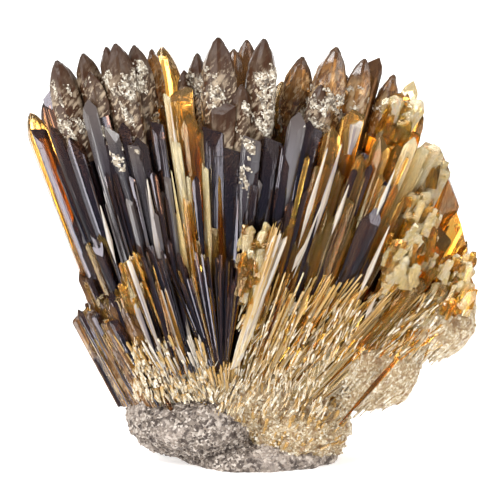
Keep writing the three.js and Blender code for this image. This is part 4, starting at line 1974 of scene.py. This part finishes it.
@dataclass
class Scatter:
    """Many small crystals or grains on a body.

    Attributes:
        count: how many there are.
        tone: what they are made of.
        habits: their shapes.
        width: the narrowest and the widest, in millimetres.
        length: the shortest and the longest, in millimetres.
        along: how far they follow the fibres, from 0 to 1.
        sunk: how much of their length is sunk in the body.
    """

    count: int
    tone: Tone
    habits: tuple[Habit, ...]
    width: Range
    length: Range
    along: float
    sunk: float = 0.5

    STRAY = 0.5  # how far a crystal strays from the surface's normal

    def spread(
        self, body: bpy.types.Object, stock: Stock, wanted: Callable[[Vector, Vector], bool]
    ) -> None:
        """Grow the small crystals on a body.

        Args:
            body: the body that they stand on.
            stock: where they are kept.
            wanted: says whether a face with this centre and normal carries any.
        """
        numbers = stock.random
        faces = [face for face in body.data.polygons if wanted(face.center, face.normal)]
        for _ in range(self.count):
            face = faces[numbers.randrange(len(faces))]
            point = face.center
            fibre = (point - focus_of(point)).normalized()
            loose = Vector([numbers.uniform(-self.STRAY, self.STRAY) for _ in range(3)])
            out = face.normal + loose
            way = (fibre * self.along + out * (1 - self.along)).normalized()
            length = numbers.uniform(*self.length) * MM
            start = point - way * length * self.sunk
            crystal = Crystal(
                tip=spot_of(start + way * length),
                foot=spot_of(start),
                width=numbers.uniform(*self.width),
                tone=self.tone,
                habit=numbers.choice(self.habits),
                turn=numbers.uniform(0, 90),
                shade=numbers.random(),
            )
            stock.grow(crystal)


@dataclass
class PaleRoot:
    """The milky root: a fused body with fibrous relief, fibres and sugary grains.

    Attributes:
        stock: where its fibres and grains are kept.
        lumps: what its body is fused from.
        cell: the size of its mesh's cells in metres.
        ridge: how far its ridges stand out, in metres.
        fibres: the loose fibres on its front.
        streaks: the fine streaks on its right-hand lumps.
        sugar: its sugary grains.
        fibrous: how far across the loose fibres reach, in millimetres.
        streaky_from: where across the streaks start.
        sugary_to: where across the grains stop.
    """

    stock: Stock
    lumps: tuple[Lump, ...] = (
        Lump((-1, 14, 1), (21.5, 11.5, 13.5)),
        Lump((-16.4, 18.4, -1), (8, 11, 10)),
        Lump((9, 7, -1), (11, 8.5, 12.4)),
        Lump((20.5, 13.6, 0), (7, 3.4, 9)),
        Lump((24, 20, 1), (10.2, 10.0, 11.6)),
        Lump((35.4, 28.4, 1), (9.8, 8.4, 9.6)),
    )
    cell: float = 0.0006
    ridge: float = 0.0011
    fibres: Scatter = field(
        default_factory=lambda: Scatter(
            800, Tone.CREAM, (Habit.NEEDLE,), (0.4, 1.0), (3, 9), 0.9, 0.75
        )
    )
    streaks: Scatter = field(
        default_factory=lambda: Scatter(
            1100, Tone.SUGAR, (Habit.NEEDLE,), (0.3, 0.8), (1.5, 4), 0.9, 0.85
        )
    )
    sugar: Scatter = field(
        default_factory=lambda: Scatter(
            2400, Tone.SUGAR, (Habit.CHUNK,), (0.4, 1.1), (0.5, 1.5), 0.3
        )
    )
    fibrous: Range = (-17, 18)
    streaky_from: float = 16
    sugary_to: float = 20

    FIBRE_FOOT = 4 * MM  # fibres and streaks grow above this height
    SUGAR_FOOT = 2 * MM  # grains grow above this one
    RIDGE_SCALES = (14, 8, 50)  # ridges in a radian across and back, and bends in a metre
    FINER = 2.7  # how much finer the second layer of ridges is
    FINER_GAIN = 0.6  # how strong it is

    def build(self, effects: Effects) -> None:
        """Model the root.

        Args:
            effects: the shared node groups.
        """
        body = fused_body(self.lumps, "milky_root", self.cell, 6)
        self._raise_ridges(body)
        displace(body, 0.0012, 0.0008, 2)
        apply_modifiers(body)
        finish_body(body)
        self.fibres.spread(body, self.stock, self._is_fibrous)
        self.streaks.spread(body, self.stock, self._is_streaky)
        self.sugar.spread(body, self.stock, self._is_sugary)
        for crowd in (*ROOT_BUNDLES, *SHARD_DRUSES):
            self.stock.grow(*crowd.crystals(self.stock.random))
        dress(body, ROOT_FINISH, effects, "pale_root")
        self.stock.joined(Tone.CREAM, FIBRE_FINISH, effects, "pale_root")
        self.stock.joined(Tone.SUGAR, SUGAR_FINISH, effects, "pale_root")

    def _is_fibrous(self, centre: Vector, normal: Vector) -> bool:
        """Say whether loose fibres grow on a face of the root."""
        left, right = self.fibrous
        within = left * MM < centre.x < right * MM
        return abs(normal.y) > 0.3 and centre.z > self.FIBRE_FOOT and within

    def _is_streaky(self, centre: Vector, normal: Vector) -> bool:
        """Say whether fine streaks lie on a face, as on the lumps of the right."""
        within = centre.x > self.streaky_from * MM
        return abs(normal.y) > 0.5 and centre.z > self.FIBRE_FOOT and within

    def _is_sugary(self, centre: Vector, normal: Vector) -> bool:
        """Say whether sugary grains grow on a face of the root."""
        within = centre.x < self.sugary_to * MM
        return centre.z > self.SUGAR_FOOT and normal.z > -0.8 and within

    def _raise_ridges(self, body: bpy.types.Object) -> None:
        """Push the surface in and out in ridges that run with the fibres."""
        places = coordinates(body.data)
        normals = np.empty(places.size)
        body.data.vertex_normals.foreach_get("vector", normals)
        lifts = []
        for point in map(Vector, places):
            way = point - focus_of(point)
            lean = math.atan2(way.x, way.z)
            turn = math.atan2(way.y, way.z)
            along, round_back, outwards = self.RIDGE_SCALES
            spot = Vector((lean * along, turn * round_back, way.length * outwards))
            finer = noise.noise(spot * self.FINER) * self.FINER_GAIN
            lifts.append(noise.noise(spot) + finer)
        places += normals.reshape(-1, 3) * np.array(lifts)[:, None] * self.ridge
        body.data.vertices.foreach_set("co", places.ravel())
        body.data.update()


@dataclass
class HostRock:
    """The lump of granular rock under the root.

    Attributes:
        stock: where its grains are kept.
        lumps: what its body is fused from.
        cell: the size of its mesh's cells in metres.
        grains: the loose grains on it.
        foot: the height above which it carries grains, in metres.
    """

    stock: Stock
    lumps: tuple[Lump, ...] = (
        Lump((-10.6, 8.4, -1), (14, 8.0, 14)),
        Lump((2, 1, -1), (15.4, 5.2, 13)),
    )
    cell: float = 0.00045
    grains: Scatter = field(
        default_factory=lambda: Scatter(
            1500, Tone.GRIT, (Habit.CHUNK,), (0.4, 1.1), (0.4, 1.2), 0.1
        )
    )
    foot: float = 0.001

    def build(self, effects: Effects) -> None:
        """Model the rock.

        Args:
            effects: the shared node groups.
        """
        body = fused_body(self.lumps, "granular_host_rock", self.cell, 3)
        displace(body, 0.006, 0.0030, 2)
        displace(body, 0.0012, 0.0010, 3)
        apply_modifiers(body)
        finish_body(body)
        self.grains.spread(body, self.stock, lambda centre, normal: centre.z > self.foot)
        dress(body, ROCK_FINISH, effects, "host_rock")
        self.stock.joined(Tone.GRIT, ROCK_FINISH, effects, "host_rock")


@dataclass(frozen=True)
class Softbox:
    """A bright or dark upright stretch of the studio's surroundings.

    Attributes:
        start: where it starts, in degrees round from the front, positive to the right.
        end: where it ends.
        power: its brightness.
        tint: its colour.
    """

    start: float
    end: float
    power: float
    tint: Colour = (1.0, 1.0, 1.0)


@dataclass
class Studio:
    """The floor, the lights, the surroundings and the camera.

    Attributes:
        surroundings: the upright stretches, from left to right.
        base: the brightness between them.
        edge: how soft their edges are, in degrees.
        strongest: the brightness that a colour of 1 in the ramp stands for.
        through_level: how much brighter they are when seen through a crystal.
        diffuse_level: the brightness of the light that matte surfaces get from all round.
        lamps: the name, place, size and power of each lamp.
        aim_height: the height that the lamps aim at, in metres.
    """

    surroundings: tuple[Softbox, ...] = (
        Softbox(-166, -146, 5.0),
        Softbox(-118, -100, 2.0),
        Softbox(-74, -52, 8.0),
        Softbox(-40, 30, 0.3, (0.85, 0.9, 1.15)),
        Softbox(44, 56, 5.0),
        Softbox(100, 118, 2.0),
        Softbox(146, 166, 5.0),
    )
    base: float = 0.5
    edge: float = 4.0
    strongest: float = 10.0
    through_level: float = 1.9
    diffuse_level: float = 0.36
    lamps: tuple[tuple[str, Spot, float, float], ...] = (
        ("key", (-0.55, -0.75, 0.75), 0.4, 8.5),
        ("fill", (0.75, -0.55, 0.45), 0.5, 3.0),
        ("top", (0.1, 0.25, 0.95), 0.6, 5.0),
    )
    aim_height: float = 0.045

    def build(self) -> None:
        """Set up everything around the object."""
        self._lay_floor()
        self._light()
        self._surround()
        self._aim()

    def _lay_floor(self) -> None:
        """Lay a plain pale floor."""
        bpy.ops.mesh.primitive_circle_add(
            vertices=96, radius=3.0, fill_type="NGON", location=(0, 0, -0.00005)
        )
        floor = bpy.context.active_object
        floor.name = "floor"
        settle(floor)
        material = bpy.data.materials.new("pale_floor")
        material.use_nodes = True
        tree = Tree(material.node_tree)
        shader = tree.add(
            "ShaderNodeBsdfPrincipled",
            {
                "Base Color": (0.93, 0.93, 0.93, 1),
                "Roughness": 0.9,
                "Emission Color": (1, 1, 1, 1),
                "Emission Strength": 0.5,
            },
        )
        tree.add("ShaderNodeOutputMaterial", {"Surface": shader.outputs[0]})
        floor.data.materials.append(material)
        floor.visible_glossy = False
        floor.visible_transmission = False

    def _light(self) -> None:
        """Hang the soft lights."""
        for name, spot, size, power in self.lamps:
            bpy.ops.object.light_add(type="AREA", location=spot)
            lamp = bpy.context.active_object
            lamp.name = name
            lamp.data.size = size
            lamp.data.energy = power
            aim = Vector((0, 0, self.aim_height)) - Vector(spot)
            lamp.rotation_euler = aim.to_track_quat("-Z", "Y").to_euler()
            lamp.visible_camera = False

    def _surround(self) -> None:
        """Wrap the scene in a pale studio with bright and dark upright stretches."""
        world = bpy.data.worlds.new("studio")
        bpy.context.scene.world = world
        world.use_nodes = True
        tree = Tree(world.node_tree)
        way = tree.add("ShaderNodeTexCoord").outputs["Generated"]
        axes = tree.add("ShaderNodeSeparateXYZ", {0: way})
        front = tree.maths("MULTIPLY", axes.outputs[1], -1.0)
        turn = tree.maths("ARCTAN2", axes.outputs[0], front)
        share = tree.maths("MULTIPLY_ADD", turn, 1 / math.tau, 0.5)
        ramp = tree.add("ShaderNodeValToRGB", {0: share})
        self._write_ramp(ramp.color_ramp)
        seen = tree.add("ShaderNodeLightPath")
        white = (1.0, 1.0, 1.0)
        plain = tree.maths("MAXIMUM", seen.outputs["Is Camera Ray"], seen.outputs["Is Diffuse Ray"])
        colour = tree.mix(plain, ramp.outputs[0], white)
        through = self.strongest * self.through_level
        level = tree.choose(seen.outputs["Is Transmission Ray"], self.strongest, through)
        level = tree.choose(seen.outputs["Is Diffuse Ray"], level, self.diffuse_level)
        level = tree.choose(seen.outputs["Is Camera Ray"], level, 1.0)
        back = tree.add("ShaderNodeBackground", {0: colour, 1: level})
        tree.add("ShaderNodeOutputWorld", {0: back.outputs[0]})

    def _write_ramp(self, ramp: bpy.types.ColorRamp) -> None:
        """Write the stretches into a colour ramp that runs once round."""
        plain = (1.0, 1.0, 1.0)
        stops = [(0.0, self.base, plain)]
        for box in self.surroundings:
            for angle, power, tint in (
                (box.start, self.base, plain),
                (box.start + self.edge, box.power, box.tint),
                (box.end - self.edge, box.power, box.tint),
                (box.end, self.base, plain),
            ):
                stops.append((min(max(angle / 360 + 0.5, 0.0), 1.0), power, tint))
        while len(ramp.elements) > 1:
            ramp.elements.remove(ramp.elements[-1])
        for index, (spot, power, tint) in enumerate(stops):
            element = ramp.elements[0] if index == 0 else ramp.elements.new(spot)
            element.position = spot
            element.color = (*(power / self.strongest * part for part in tint), 1)

    def _aim(self) -> None:
        """Aim the camera as the front view does."""
        up_picture = Vector((0, math.sin(FRONT_TILT), math.cos(FRONT_TILT)))
        towards_viewer = Vector((0, -math.cos(FRONT_TILT), math.sin(FRONT_TILT)))
        middle = up_picture * PICTURE_MIDDLE * MM
        bpy.ops.object.camera_add(location=middle + towards_viewer * CAMERA_DISTANCE)
        camera = bpy.context.active_object
        camera.rotation_euler = (-towards_viewer).to_track_quat("-Z", "Y").to_euler()
        camera.data.sensor_width = SENSOR
        camera.data.lens = SENSOR * CAMERA_DISTANCE / PICTURE_WIDTH
        camera.data.clip_start = 0.01
        scene = bpy.context.scene
        scene.camera = camera
        scene.view_settings.view_transform = "Standard"


def main() -> None:
    """Build the cluster from its rock to its crust, then the studio."""
    logging.basicConfig(level=logging.INFO, format="%(relativeCreated)d %(message)s")
    bpy.ops.object.select_all(action="DESELECT")
    effects = Effects()
    shelf = MouldShelf()
    shelf.build()
    stock = Stock(shelf.moulds)
    HostRock(stock).build(effects)
    PaleRoot(stock).build(effects)
    fan = CrystalFan(stock)
    fan.build()
    caps = Caps(stock)
    caps.build(effects)
    fan.dress(effects)
    caps.dress(effects)
    shelf.clear()
    Studio().build()


if __name__ == "__main__":
    main()
